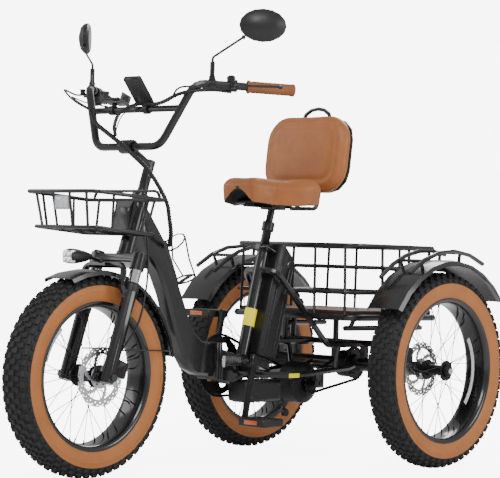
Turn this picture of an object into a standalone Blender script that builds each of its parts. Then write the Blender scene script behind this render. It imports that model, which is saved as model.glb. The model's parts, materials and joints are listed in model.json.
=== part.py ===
"""Adult folding electric tricycle with fat tyres.

Metres, +Z up. The front points to -Y and the rider's left side is +X.
The origin is on the ground, below the middle of the outer box.
"""
import bpy
import bmesh
import math
from mathutils import Matrix, Vector

# ---- driving dimensions -------------------------------------------------
wheelbase = 1.066
track = 0.743
front_tyre_radius = 0.275
rear_tyre_radius = 0.289
tyre_width = 0.098
sidewall_height = 0.0788         # tyre radius minus rim radius
rim_width = 0.084
rim_depth = 0.015
fit_gap = 0.0004                 # between pieces that touch
bore_gap = 0.0008                # radial, between a shaft and its bore
head_angle = math.radians(18)    # steering axis, from vertical
fork_offset = 0.0232
fork_half_spacing = 0.080
stanchion_radius = 0.0155
leg_radius = 0.0195
leg_top = front_tyre_radius - 0.023
fork_travel = 0.030
crown_bottom = front_tyre_radius + 0.043
crown_height = 0.024
head_tube_length = 0.1625
head_tube_radius = 0.024
steerer_radius = 0.014
hub_half_width = 0.058
rotor_radius = 0.080
rotor_thickness = 0.002
axle_radius = 0.006
spokes_per_side = 7
wheel_steps = 32
fender_gap = 0.008               # tyre to front fender
rear_fender_gap = 0.036
fender_width = 0.112
rear_fender_width = 0.124
sheet_thickness = 0.0025
bar_radius = 0.011
grip_radius = 0.0165
grip_length = 0.127
stem_rise = 0.0945
stem_reach = 0.095
crank_length = 0.152
crank_angle = math.radians(11)
bottom_bracket = Vector((0, 0.040, 0.288))
pedal_size = Vector((0.098, 0.086, 0.022))
chainring_teeth = 44
cassette_teeth = 18
motor_teeth = 14
axle_teeth = 24
chain_pitch = 0.0127
chain_radius = 0.0034
motor_centre = Vector((0, 0.330, 0.235))
motor_radius = 0.062
seat_angle = math.radians(14.5)
seat_tube_radius = 0.0175
seatpost_radius = 0.014
seat_rod_radius = 0.011
seat_travel = 0.03
battery_size = Vector((0.084, 0.080, 0.335))
frame_tube_half_width = 0.026
stay_radius = 0.010
rack_half_width = 0.235
rack_front = 0.293
rack_length = 0.410
rack_floor = 0.437
rack_top = 0.648
basket_wire = 0.0032
basket_rail = 0.0048

# ---- places worked out from them ---------------------------------------
mid_shift = (rear_tyre_radius - front_tyre_radius) / 2
front_axle = Vector((0, -wheelbase / 2 - mid_shift, front_tyre_radius))
rear_axle = Vector((0, wheelbase / 2 - mid_shift, rear_tyre_radius))
wheel_x = track / 2
tyre_edge_x = wheel_x - tyre_width / 2
fold_plane = -0.0622
fold_pin_x = -0.0485
X, Y, Z = Vector((1, 0, 0)), Vector((0, 1, 0)), Vector((0, 0, 1))

steer_up = Vector((0, math.sin(head_angle), math.cos(head_angle)))
steer_back = Vector((0, math.cos(head_angle), -math.sin(head_angle)))
steer_origin = front_axle + steer_back * fork_offset
seat_up = Vector((0, math.sin(seat_angle), math.cos(seat_angle)))
seat_back = Vector((0, math.cos(seat_angle), -math.sin(seat_angle)))
seat_origin = Vector((0, 0.073, 0.303))

parts = bpy.data.collections.new("adult_tricycle")
cutters = bpy.data.collections.new("cutters")


def steer_point(x, back, up):
    """A place in the fork's frame: sideways, behind and along the steering axis."""
    return steer_origin + X * x + steer_back * back + steer_up * up


def seat_point(x, back, up):
    """A place in the seat tube's frame."""
    return seat_origin + X * x + seat_back * back + seat_up * up


def frame_matrix(origin, up, back):
    """Maps local x, y, z to X, the 'back' direction and the 'up' direction."""
    matrix = Matrix((X, back, up)).transposed().to_4x4()
    matrix.translation = origin
    return matrix


steer_frame = frame_matrix(steer_origin, steer_up, steer_back)
seat_frame = frame_matrix(seat_origin, seat_up, seat_back)


# ---- shape helpers -------------------------------------------------------
def clear_scene():
    for item in list(bpy.data.objects):
        bpy.data.objects.remove(item, do_unlink=True)
    bpy.context.scene.collection.children.link(parts)
    bpy.context.scene.collection.children.link(cutters)


def keep(name, mesh):
    item = bpy.data.objects.new(name, mesh)
    cutters.objects.link(item)
    return item


def bake(item):
    """Turns an object with modifiers, or a curve, into a plain mesh object."""
    graph = bpy.context.evaluated_depsgraph_get()
    graph.update()
    mesh = bpy.data.meshes.new_from_object(item.evaluated_get(graph))
    mesh.transform(item.matrix_world)
    work = bmesh.new()
    work.from_mesh(mesh)
    bmesh.ops.remove_doubles(work, verts=work.verts, dist=0.00001)
    bmesh.ops.recalc_face_normals(work, faces=work.faces)
    work.to_mesh(mesh)
    work.free()
    baked = keep(item.name + "_mesh", mesh)
    bpy.data.objects.remove(item, do_unlink=True)
    return baked


def box(low, high, bevel=0.0):
    low, high = Vector(low), Vector(high)
    mesh = bpy.data.meshes.new("box")
    work = bmesh.new()
    bmesh.ops.create_cube(work, size=1)
    bmesh.ops.scale(work, verts=work.verts, vec=high - low)
    bmesh.ops.translate(work, verts=work.verts, vec=(low + high) / 2)
    if bevel:
        bmesh.ops.bevel(work, geom=work.edges, offset=bevel, segments=1, affect="EDGES")
    work.to_mesh(mesh)
    work.free()
    return keep("box", mesh)


def placed(item, matrix):
    item.data.transform(matrix)
    return item


def rod(start, end, radius, sides=12, radius_end=None):
    """A straight cylinder or cone between two points."""
    start, end = Vector(start), Vector(end)
    along = end - start
    mesh = bpy.data.meshes.new("rod")
    work = bmesh.new()
    bmesh.ops.create_cone(
        work, cap_ends=True, segments=sides, radius1=radius,
        radius2=radius if radius_end is None else radius_end, depth=along.length)
    turn = Z.rotation_difference(along.normalized()).to_matrix().to_4x4()
    work.transform(Matrix.Translation((start + end) / 2) @ turn)
    work.to_mesh(mesh)
    work.free()
    return keep("rod", mesh)


def rounded_path(points, radius, closed=False, steps=4):
    """The same path with each corner rounded by an arc."""
    points = [Vector(p) for p in points]
    count = len(points)
    path = []
    for i, corner in enumerate(points):
        if not closed and i in (0, count - 1):
            path.append(corner)
            continue
        before = (points[i - 1] - corner)
        after = (points[(i + 1) % count] - corner)
        opening = before.angle(after)
        if opening > math.radians(176):
            path.append(corner)
            continue
        reach = radius / math.tan(opening / 2)
        reach = min(reach, before.length * 0.48, after.length * 0.48)
        bend = reach * math.tan(opening / 2)
        middle = (before.normalized() + after.normalized()).normalized()
        centre = corner + middle * (bend / math.sin(opening / 2))
        first = corner + before.normalized() * reach - centre
        last = corner + after.normalized() * reach - centre
        for k in range(steps + 1):
            path.append(centre + first.slerp(last, k / steps) * bend)
    return path


def tube(points, radius, sides=8, closed=False):
    """A tube along a path."""
    curve = bpy.data.curves.new("tube", "CURVE")
    curve.dimensions = "3D"
    curve.bevel_depth = radius
    curve.bevel_resolution = sides // 2 - 2
    curve.use_fill_caps = not closed
    spline = curve.splines.new("POLY")
    spline.points.add(len(points) - 1)
    for point, place in zip(spline.points, points):
        point.co = (*place, 1)
    spline.use_cyclic_u = closed
    item = bpy.data.objects.new("tube", curve)
    cutters.objects.link(item)
    return bake(item)


def slab(outline, thickness, matrix, bevel=0.0):
    """A flat outline in local x and y, thickened about its plane, then placed."""
    curve = bpy.data.curves.new("slab", "CURVE")
    curve.dimensions = "2D"
    curve.fill_mode = "BOTH"
    curve.extrude = thickness / 2
    spline = curve.splines.new("POLY")
    spline.points.add(len(outline) - 1)
    for point, place in zip(spline.points, outline):
        point.co = (place[0], place[1], 0, 1)
    spline.use_cyclic_u = True
    item = bpy.data.objects.new("slab", curve)
    cutters.objects.link(item)
    solid = bake(item)
    if bevel:
        edge = solid.modifiers.new("edge", "BEVEL")
        edge.width = bevel
        edge.segments = 1
        edge.angle_limit = math.radians(50)
        solid = bake(solid)
    return placed(solid, matrix)


def turned(profile, centre, axis=X, steps=32):
    """A solid turned about an axis. Points are (radius, along), top to bottom outside.

    A ring's profile is closed; one that starts and ends on the axis is open.
    """
    ring = all(radius > 0 for radius, _ in profile)
    mesh = bpy.data.meshes.new("turned")
    edges = [(i, i + 1) for i in range(len(profile) - 1)]
    if ring:
        edges.append((len(profile) - 1, 0))
    mesh.from_pydata([(radius, 0, along) for radius, along in profile], edges, [])
    item = keep("turned", mesh)
    spin = item.modifiers.new("spin", "SCREW")
    spin.steps = steps
    spin.render_steps = steps
    spin.use_merge_vertices = True
    spin.merge_threshold = 0.00005
    solid = bake(item)
    turn = Z.rotation_difference(axis).to_matrix().to_4x4()
    return placed(solid, Matrix.Translation(centre) @ turn)


def arched_sheet(profile, centre, start, sweep, thickness, steps=10):
    """A bent sheet round the X axis. Points are (x, radius); angles start at the top, forward."""
    mesh = bpy.data.meshes.new("sheet")
    lean = (-math.sin(start), math.cos(start))
    points = [(x, radius * lean[0], radius * lean[1]) for x, radius in profile]
    mesh.from_pydata(points, [(i, i + 1) for i in range(len(points) - 1)], [])
    item = keep("sheet", mesh)
    spin = item.modifiers.new("spin", "SCREW")
    spin.axis = "X"
    spin.angle = -sweep
    spin.steps = steps
    spin.render_steps = steps
    spin.use_merge_vertices = False
    thick = item.modifiers.new("thick", "SOLIDIFY")
    thick.thickness = thickness
    thick.offset = 0
    return placed(bake(item), Matrix.Translation(centre))


def fuse(first, *others):
    """Joins overlapping solids into one."""
    if not others:
        return first
    group = bpy.data.collections.new("joined")
    bpy.context.scene.collection.children.link(group)
    for item in others:
        group.objects.link(item)
    union = first.modifiers.new("union", "BOOLEAN")
    union.operation = "UNION"
    union.solver = "EXACT"
    union.operand_type = "COLLECTION"
    union.collection = group
    solid = bake(first)
    for item in others:
        bpy.data.objects.remove(item, do_unlink=True)
    bpy.data.collections.remove(group)
    return solid


def cut(solid, *tools):
    """Takes the tools' shapes out of a solid."""
    for tool in tools:
        hole = solid.modifiers.new("hole", "BOOLEAN")
        hole.operation = "DIFFERENCE"
        hole.solver = "EXACT"
        hole.object = tool
        solid = bake(solid)
        bpy.data.objects.remove(tool, do_unlink=True)
    return solid


def mirrored(item):
    """A copy on the other side of the middle plane."""
    mesh = item.data.copy()
    mesh.transform(Matrix.Scale(-1, 4, X))
    mesh.flip_normals()
    return keep(item.name, mesh)


materials = {}


def material(name, colour, roughness, metallic=0.0):
    if name not in materials:
        made = bpy.data.materials.new(name)
        made.use_nodes = True
        shader = made.node_tree.nodes["Principled BSDF"]
        shader.inputs["Base Color"].default_value = (*colour, 1)
        shader.inputs["Roughness"].default_value = roughness
        shader.inputs["Metallic"].default_value = metallic
        materials[name] = made
    return materials[name]


def black_paint():
    return material("black_paint", (0.012, 0.012, 0.014), 0.32)


def black_plastic():
    return material("black_plastic", (0.018, 0.018, 0.019), 0.5)


def black_rubber():
    return material("black_rubber", (0.02, 0.02, 0.02), 0.85)


def tan_leather():
    return material("tan_leather", (0.50, 0.20, 0.065), 0.55)


def steel():
    return material("steel", (0.55, 0.55, 0.56), 0.28, 1.0)


def wood():
    return material("wood", (0.22, 0.07, 0.035), 0.55)


joint_empties = {}


def body(name, pivot):
    """An empty on a joint's axis, which the body's pieces are parented to."""
    empty = bpy.data.objects.new(name + "_axis", None)
    empty.location = pivot
    empty.empty_display_size = 0.05
    parts.objects.link(empty)
    joint_empties[name] = empty
    return name


def finish(name, item, finish_material, owner=None):
    """Names a solid, gives it its material and puts its origin on its body's axis."""
    item.name = name
    item.data.name = name
    item.data.materials.clear()
    item.data.materials.append(finish_material)
    item.data.shade_smooth()
    item.data.set_sharp_from_angle(angle=math.radians(38))
    cutters.objects.unlink(item)
    parts.objects.link(item)
    if owner is None:
        return item
    empty = joint_empties[owner]
    item.data.transform(Matrix.Translation(-empty.location))
    item.parent = empty
    return item


# ---- wheels --------------------------------------------------------------
def make_tyre(name, centre, radius, owner):
    half = tyre_width / 2
    bead = radius - sidewall_height + 0.0005
    outside = [
        (bead, rim_width / 2 - 0.001),
        (bead + 0.032, half),
        (radius - 0.015, half - 0.004),
        (radius, half * 0.45),
    ]
    profile = outside + [(r, -x) for r, x in reversed(outside)]
    tyre = turned(profile, centre, steps=wheel_steps)
    finish(name, tyre, black_rubber(), owner)


def make_rim(name, centre, radius, owner):
    outer = radius - sidewall_height
    half = rim_width / 2
    profile = [
        (outer, half),
        (outer, -half),
        (outer - rim_depth, -half * 0.85),
        (outer - rim_depth, half * 0.85),
    ]
    finish(name, turned(profile, centre, steps=wheel_steps), black_paint(), owner)


def make_hub(centre, radius, half_width, flange_x):
    """A hub shell with two flanges and slanting spokes."""
    shell = rod(centre - X * half_width, centre + X * half_width, 0.016, 12)
    pieces = []
    reach = (radius - sidewall_height - rim_depth) * math.cos(math.pi / wheel_steps) - 0.0012
    step = 2 * math.pi / spokes_per_side
    for side in (1, -1):
        flange = centre + X * side * flange_x
        pieces.append(rod(flange - X * 0.003, flange + X * 0.003, 0.034, 12))
        for k in range(spokes_per_side):
            angle = k * step + (side + 1) * step / 4
            lean = angle + side * 0.42
            start = Vector((0, math.cos(angle), math.sin(angle))) * 0.029
            end = Vector((0, math.cos(lean), math.sin(lean))) * reach
            inset = X * side * -0.014
            pieces.append(rod(flange + start, flange + end + inset, 0.0015, 4))
    return fuse(shell, *pieces)


def make_rotor(name, centre, owner, x):
    half = rotor_thickness / 2
    profile = [
        (rotor_radius, half),
        (rotor_radius, -half),
        (0.016 + fit_gap, -half),
        (0.016 + fit_gap, half),
    ]
    rotor = turned(profile, centre + X * x, steps=20)
    slots = []
    for k in range(5):
        angle = 2 * math.pi * k / 5
        spot = centre + X * x + Vector((0, math.cos(angle), math.sin(angle))) * 0.046
        slots.append(rod(spot - X * 0.01, spot + X * 0.01, 0.017, 6))
    finish(name, cut(rotor, *slots), steel(), owner)


def make_front_wheel():
    owner = body("front_wheel", front_axle)
    make_tyre("front_tyre", front_axle, front_tyre_radius, owner)
    make_rim("front_rim", front_axle, front_tyre_radius, owner)
    hub = make_hub(front_axle, front_tyre_radius, hub_half_width, 0.033)
    bore = rod(front_axle - X * 0.1, front_axle + X * 0.1, axle_radius + bore_gap, 12)
    finish("front_hub", cut(hub, bore), steel(), owner)
    make_rotor("front_rotor", front_axle, owner, front_rotor_x)


front_rotor_x = 0.0505
half_shaft_radius = 0.009
rear_rotor_x = tyre_edge_x - 0.0095
carrier_tube_radius = 0.021
carrier_tube_end = rear_rotor_x - 0.016
hub_nut_x = wheel_x + 0.051


def make_rear_wheel(side, word):
    centre = rear_axle + X * side * wheel_x
    owner = body("rear_wheel_" + word, centre)
    make_tyre("rear_tyre_" + word, centre, rear_tyre_radius, owner)
    make_rim("rear_rim_" + word, centre, rear_tyre_radius, owner)
    hub = make_hub(centre, rear_tyre_radius, 0.044, 0.033)
    inner_end = differential_left + fit_gap if side > 0 else -differential_right + fit_gap
    shaft = rod(rear_axle + X * side * inner_end, rear_axle + X * side * (hub_nut_x - 0.012),
                half_shaft_radius, 12)
    boss = rod(rear_axle + X * side * (carrier_tube_end + 0.004), centre, 0.0150, 12)
    nut = rod(rear_axle + X * side * (hub_nut_x - 0.013), rear_axle + X * side * hub_nut_x, 0.014, 6)
    finish("rear_hub_" + word, fuse(hub, shaft, boss, nut), steel(), owner)
    make_rotor("rear_rotor_" + word, rear_axle, owner, side * rear_rotor_x)


# ---- fork and front fender --------------------------------------------------
def make_fork():
    back = -fork_offset
    leg_x = fork_half_spacing
    owner = body("fork_lower", front_axle)
    legs = []
    bores = []
    for side in (1, -1):
        x = side * leg_x
        legs.append(rod(steer_point(x, back, -0.016), steer_point(x, back, leg_top), leg_radius, 12))
        bores.append(rod(steer_point(x, back, 0.07), steer_point(x, back, leg_top + 0.02),
                         stanchion_radius + bore_gap, 12))
    arch_back = back - 0.039
    arch_top = front_tyre_radius + 0.026
    arch = tube(rounded_path([
        steer_point(leg_x, back - 0.012, leg_top - 0.030),
        steer_point(leg_x, arch_back, leg_top - 0.005),
        steer_point(leg_x - 0.006, arch_back, arch_top),
        steer_point(-leg_x + 0.006, arch_back, arch_top),
        steer_point(-leg_x, arch_back, leg_top - 0.005),
        steer_point(-leg_x, back - 0.012, leg_top - 0.030),
    ], 0.022, steps=3), 0.009, 6)
    axle = rod(front_axle - X * (leg_x + 0.024), front_axle + X * (leg_x + 0.024), axle_radius, 12)
    nuts = [rod(front_axle + X * s * (leg_x + 0.012), front_axle + X * s * (leg_x + 0.026), 0.011, 6)
            for s in (1, -1)]
    lowers = cut(fuse(legs[0], legs[1], arch, axle, *nuts), *bores)
    finish("fork_lowers", lowers, black_paint(), owner)

    pad = box((0.0425, 0.022, 0.018), (0.0592, 0.062, 0.062), 0.003)
    slot = box((front_rotor_x - 0.002, 0.0, -0.01), (front_rotor_x + 0.002, 0.058, 0.09))
    lug = box((0.0535, -0.001, 0.028), (0.0592, 0.030, 0.048))
    caliper = fuse(placed(cut(pad, slot), steer_frame), placed(lug, steer_frame))
    finish("front_caliper", caliper, black_paint(), owner)

    reach = front_tyre_radius + fender_gap
    half = fender_width / 2
    profile = [(-half, reach - 0.012), (-half + 0.003, reach - 0.002), (-half * 0.5, reach + 0.001),
               (half * 0.5, reach + 0.001), (half - 0.003, reach - 0.002), (half, reach - 0.012)]
    fender = arched_sheet(profile, front_axle, math.radians(24), math.radians(104), sheet_thickness)
    stays = []
    for side in (1, -1):
        x = side * (half + 0.0012)
        low = steer_point(x, back + 0.012, 0.078)
        angle = math.radians(-76)
        far = front_axle + X * x + Vector((0, -math.sin(angle), math.cos(angle))) * (reach - 0.009)
        stays.append(rod(low, far, 0.0022, 6))
    finish("front_fender", fuse(fender, *stays), black_plastic(), owner)


def make_crown():
    owner = body("steering", steer_origin)
    top = crown_bottom + crown_height
    back = -fork_offset
    steerer = rod(steer_point(0, 0, crown_bottom + 0.004), steer_point(0, 0, steerer_top),
                  steerer_radius, 12)
    bridge = placed(box((-fork_half_spacing, back - 0.018, crown_bottom),
                        (fork_half_spacing, 0.020, top), 0.004), steer_frame)
    pieces = [bridge]
    for side in (1, -1):
        x = side * fork_half_spacing
        pieces.append(rod(steer_point(x, back, crown_bottom - 0.018), steer_point(x, back, top + 0.003),
                          0.0205, 12))
        pieces.append(rod(steer_point(x, back, 0.11), steer_point(x, back, top), stanchion_radius, 12))
    finish("fork_crown", fuse(steerer, *pieces), black_paint(), owner)
    return owner


head_tube_bottom = crown_bottom + crown_height + 0.0105
head_tube_top = head_tube_bottom + head_tube_length
cup_height = 0.008
steerer_top = head_tube_top + cup_height + 0.0075


# ---- handlebar and controls --------------------------------------------------
clamp_height = steerer_top + stem_rise + 0.004
bar_low = (0.122, -stem_reach, clamp_height)
bar_high = (0.205, -stem_reach - 0.013, clamp_height + 0.175)
bar_end = (0.365, 0.100, clamp_height + 0.235)
bar_run = Vector(bar_end) - Vector(bar_high)
bar_along = bar_run.normalized()


def on_bar(side, distance, outward=0.0, up=0.0):
    """A place on the swept end of the bar, with offsets away from the rider and upward."""
    flat = Vector((bar_along.y, -bar_along.x, 0)).normalized()
    spot = Vector(bar_high) + bar_along * distance + flat * outward
    world = steer_point(spot.x, spot.y, spot.z) + Z * up
    return Vector((side * world.x, world.y, world.z))


def make_bars(owner):
    left = [steer_point(*bar_low), steer_point(*bar_high), steer_point(*bar_end)]
    right = [Vector((-p.x, p.y, p.z)) for p in reversed(left)]
    path = rounded_path(right + left, 0.045)
    cross_up = clamp_height + 0.106
    share = (cross_up - bar_low[2]) / (bar_high[2] - bar_low[2])
    cross_x = bar_low[0] + share * (bar_high[0] - bar_low[0])
    cross_back = bar_low[1] + share * (bar_high[1] - bar_low[1])
    crossbar = rod(steer_point(-cross_x, cross_back, cross_up), steer_point(cross_x, cross_back, cross_up),
                   0.009, 10)
    bar = fuse(tube(path, bar_radius, 8), crossbar)
    finish("handlebar", bar, black_paint(), owner)

    quill = rod(steer_point(0, 0, steerer_top + fit_gap), steer_point(0, 0, clamp_height - 0.004), 0.0150, 12)
    arm = rod(steer_point(0, 0.004, clamp_height - 0.022), steer_point(0, -stem_reach, clamp_height),
              0.0130, 12)
    clamp = rod(steer_point(-0.022, -stem_reach, clamp_height), steer_point(0.022, -stem_reach, clamp_height),
                0.0195, 12)
    bore = rod(steer_point(-0.05, -stem_reach, clamp_height + 0.0004),
               steer_point(0.05, -stem_reach, clamp_height + 0.0004), bar_radius + 0.0022, 12)
    finish("stem", cut(fuse(quill, arm, clamp), bore), black_paint(), owner)
    return cross_back, cross_up


def make_grip(side, word, owner):
    start = bar_run.length - grip_length
    grip = rod(on_bar(side, start), on_bar(side, bar_run.length + 0.003), grip_radius, 12)
    bore = rod(on_bar(side, start - 0.01), on_bar(side, bar_run.length + fit_gap), bar_radius + 0.0006, 12)
    finish("grip_" + word, cut(grip, bore), tan_leather(), owner)


lever_pivot_along = 0.098
lever_pivot_out = 0.036


def make_brake(side, word, owner):
    ring = rod(on_bar(side, 0.094), on_bar(side, 0.114), 0.0165, 12)
    bore = rod(on_bar(side, 0.08), on_bar(side, 0.13), bar_radius + 0.0006, 12)
    pivot = on_bar(side, lever_pivot_along, lever_pivot_out, -0.008)
    arm = rod(on_bar(side, 0.104, 0.012, -0.004), pivot, 0.006, 8)
    fork = rod(pivot - Z * 0.009, pivot + Z * 0.009, 0.0085, 12)
    extra = []
    if side > 0:
        extra.append(rod(on_bar(side, 0.100, -0.004, 0.008), on_bar(side, 0.100, -0.012, 0.026), 0.012, 10))
    else:
        extra.append(rod(on_bar(side, 0.104, -0.006, -0.012), on_bar(side, 0.104, -0.010, -0.030), 0.015, 12))
    perch = fuse(ring, arm, fork, *extra)
    slot = rod(pivot - Z * 0.0045, pivot + Z * 0.0045, 0.0155, 12)
    perch = cut(perch, bore, slot)
    pin_part = rod(pivot - Z * 0.0088, pivot + Z * 0.0088, 0.0022, 8)
    finish("brake_perch_" + word, fuse(perch, pin_part), black_plastic(), owner)

    lever_body = body("brake_lever_" + word, pivot)
    hub = rod(pivot - Z * 0.0038, pivot + Z * 0.0038, 0.0075, 12)
    blade = tube(rounded_path([
        pivot,
        on_bar(side, 0.145, 0.040, -0.008),
        on_bar(side, 0.190, 0.047, -0.008),
        on_bar(side, 0.222, 0.052, -0.008),
    ], 0.04, steps=2), 0.0036, 6)
    ball = rod(on_bar(side, 0.218, 0.0515, -0.008), on_bar(side, 0.228, 0.0530, -0.008), 0.0055, 8)
    lever = fuse(hub, blade, ball)
    lever = cut(lever, rod(pivot - Z * 0.02, pivot + Z * 0.02, 0.0022 + bore_gap, 10))
    finish("brake_lever_" + word, lever, black_paint(), lever_body)


def make_throttle(owner):
    """A ring inboard of the right grip with a paddle for the thumb."""
    middle = on_bar(-1, 0.129)
    throttle_body = body("throttle", middle)
    ring = rod(on_bar(-1, 0.122), on_bar(-1, 0.1385), 0.0160, 12)
    paddle = rod(on_bar(-1, 0.130, -0.010, 0.006), on_bar(-1, 0.130, -0.036, 0.008), 0.0052, 8)
    bore = rod(on_bar(-1, 0.11), on_bar(-1, 0.15), bar_radius + 0.0007, 12)
    finish("throttle", cut(fuse(ring, paddle), bore), black_plastic(), throttle_body)

    pivot = on_bar(-1, 0.104, -0.0105, -0.0330)
    lever_body = body("shift_lever", pivot)
    hub = rod(on_bar(-1, 0.104, -0.0102, -0.0308), on_bar(-1, 0.104, -0.0112, -0.0352), 0.010, 12)
    paddle = rod(on_bar(-1, 0.104, -0.0108, -0.0330), on_bar(-1, 0.128, -0.030, -0.0330), 0.0020, 6)
    tip = rod(on_bar(-1, 0.124, -0.027, -0.0330), on_bar(-1, 0.134, -0.034, -0.0330), 0.0042, 8)
    finish("shift_lever", fuse(hub, paddle, tip), black_plastic(), lever_body)


mirror_base = 0.046
mirror_centre = Vector((0.345, -0.262, 1.225))
mirror_facing = Vector((-0.745, 0.667, 0.0)).normalized()


def make_mirror(side, word, owner):
    def flip(point):
        return Vector((side * point.x, point.y, point.z))

    base = on_bar(1, mirror_base)
    collar = rod(on_bar(side, mirror_base - 0.009), on_bar(side, mirror_base + 0.009), 0.0150, 12)
    bore = rod(on_bar(side, 0.01), on_bar(side, 0.06), bar_radius + 0.0006, 12)
    foot = rod(flip(base + Z * 0.012), flip(base + Z * 0.022), 0.009, 10)
    side_way = Z.cross(mirror_facing).normalized()
    joint = mirror_centre + side_way * 0.0520 - Z * 0.0345
    sleeve = rod(flip(base + Z * 0.018), flip(base + Z * 0.060), 0.0068, 10)
    stalk = tube(rounded_path([
        flip(base + Z * 0.024),
        flip(base + Z * 0.072),
        flip(joint),
    ], 0.010, steps=2), 0.0036, 6)
    ball = rod(flip(joint - Z * 0.0050), flip(joint + Z * 0.0050), 0.0050, 10)
    stalk = cut(fuse(collar, foot, stalk, sleeve, ball), bore)
    finish("mirror_stalk_" + word, stalk, black_paint(), owner)

    head_body = body("mirror_head_" + word, flip(joint))
    profile = [(0, 0.0150), (0.040, 0.0150), (0.0475, 0.009), (0.046, -0.001), (0.034, -0.012), (0.012, -0.0175),
               (0, -0.0180)]
    head = turned(profile, Vector(), axis=Z, steps=16)
    widen = Matrix((side_way * 1.35, Z * 0.95, mirror_facing)).transposed().to_4x4()
    widen.translation = mirror_centre
    head = placed(head, widen)
    if side < 0:
        other = mirrored(head)
        bpy.data.objects.remove(head, do_unlink=True)
        head = other
    finish("mirror_head_" + word, head, black_plastic(), head_body)


def make_display(owner, cross_back, cross_up):
    """The ride computer and the phone clamp on the crossbar."""
    turn = steer_frame @ Matrix.Translation((0.044, cross_back, cross_up))
    screen = placed(box((-0.031, -0.010, -0.004), (0.031, 0.006, 0.084), 0.004),
                    Matrix.Translation((0, -0.0135, 0.016)) @ Matrix.Rotation(math.radians(58), 4, "X"))
    ring = rod((-0.008, 0, 0), (0.008, 0, 0), 0.0135, 12)
    bore = rod((-0.03, 0, 0), (0.03, 0, 0), 0.009 + 0.0006, 12)
    link = box((-0.008, -0.018, 0.004), (0.008, -0.006, 0.024))
    display = cut(fuse(screen, ring, link), bore)
    finish("display", placed(display, turn), black_plastic(), owner)

    middle = (-0.088, cross_back, cross_up)
    turn = steer_frame @ Matrix.Translation(middle)
    jaw_body = body("phone_jaw", steer_point(*middle))
    ring = rod((-0.009, 0, 0), (0.009, 0, 0), 0.0135, 12)
    bore = rod((-0.03, 0, 0), (0.03, 0, 0), 0.009 + 0.0006, 12)
    neck = rod((0, 0, 0.009), (0, 0, 0.026), 0.007, 10)
    plate = box((-0.035, -0.022, 0.024), (0.031, 0.022, 0.031), 0.002)
    lip = box((-0.0385, -0.018, 0.024), (-0.0345, 0.018, 0.047))
    holder = cut(fuse(plate, neck, ring, lip), bore)
    finish("phone_holder", placed(holder, turn), black_plastic(), owner)
    lip = box((0.0345, -0.018, 0.0215), (0.0385, 0.018, 0.047))
    foot = box((0.004, -0.014, 0.0180), (0.0385, 0.014, 0.0235))
    screw = rod((0.036, 0, 0.036), (0.052, 0, 0.036), 0.0055, 10)
    notch = rod((0, 0, 0), (0, 0, 0.05), 0.0074, 10)
    jaw = cut(fuse(lip, foot, screw), notch)
    finish("phone_jaw", placed(jaw, turn), steel(), jaw_body)


def make_headlight():
    """A lamp on a bracket in front of the fork arch."""
    pivot = steer_point(0, -0.083, front_tyre_radius + 0.030)
    lamp_body = body("headlight", pivot)
    forward = Vector((0, -1, 0))
    shell = turned([(0, 0.060), (0.0190, 0.060), (0.0205, 0.054), (0.0200, 0.030), (0.0150, 0.000), (0.0085, -0.022),
                    (0, -0.024)], pivot + Vector((0, -0.062, 0.010)), axis=forward, steps=20)
    foot = rod(pivot - X * 0.0045, pivot + X * 0.0045, 0.0065, 10)
    neck = rod(pivot, pivot + Vector((0, -0.044, 0.010)), 0.0045, 8)
    finish("headlight", fuse(shell, neck, foot), black_plastic(), lamp_body)


# ---- front frame --------------------------------------------------------------
def side_plate(outline, half_width, bevel):
    """A plate in the YZ plane. Outline points are (y, z)."""
    matrix = Matrix((Y, Z, X)).transposed().to_4x4()
    return slab(outline, half_width * 2, matrix, bevel)


def fold_knuckles(levels, hold_y, reach_y):
    """Hinge barrels at these levels, each with its arm to the plate."""
    made = []
    for low, high in levels:
        made.append(rod((fold_pin_x, fold_plane, low), (fold_pin_x, fold_plane, high), 0.0085, 12))
        made.append(box((fold_pin_x, min(hold_y, reach_y), low), (-0.034, max(hold_y, reach_y), high)))
    return made


outer_levels = ((0.262, 0.2845), (0.3295, 0.352))
inner_levels = ((0.2850, 0.3290),)


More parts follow.
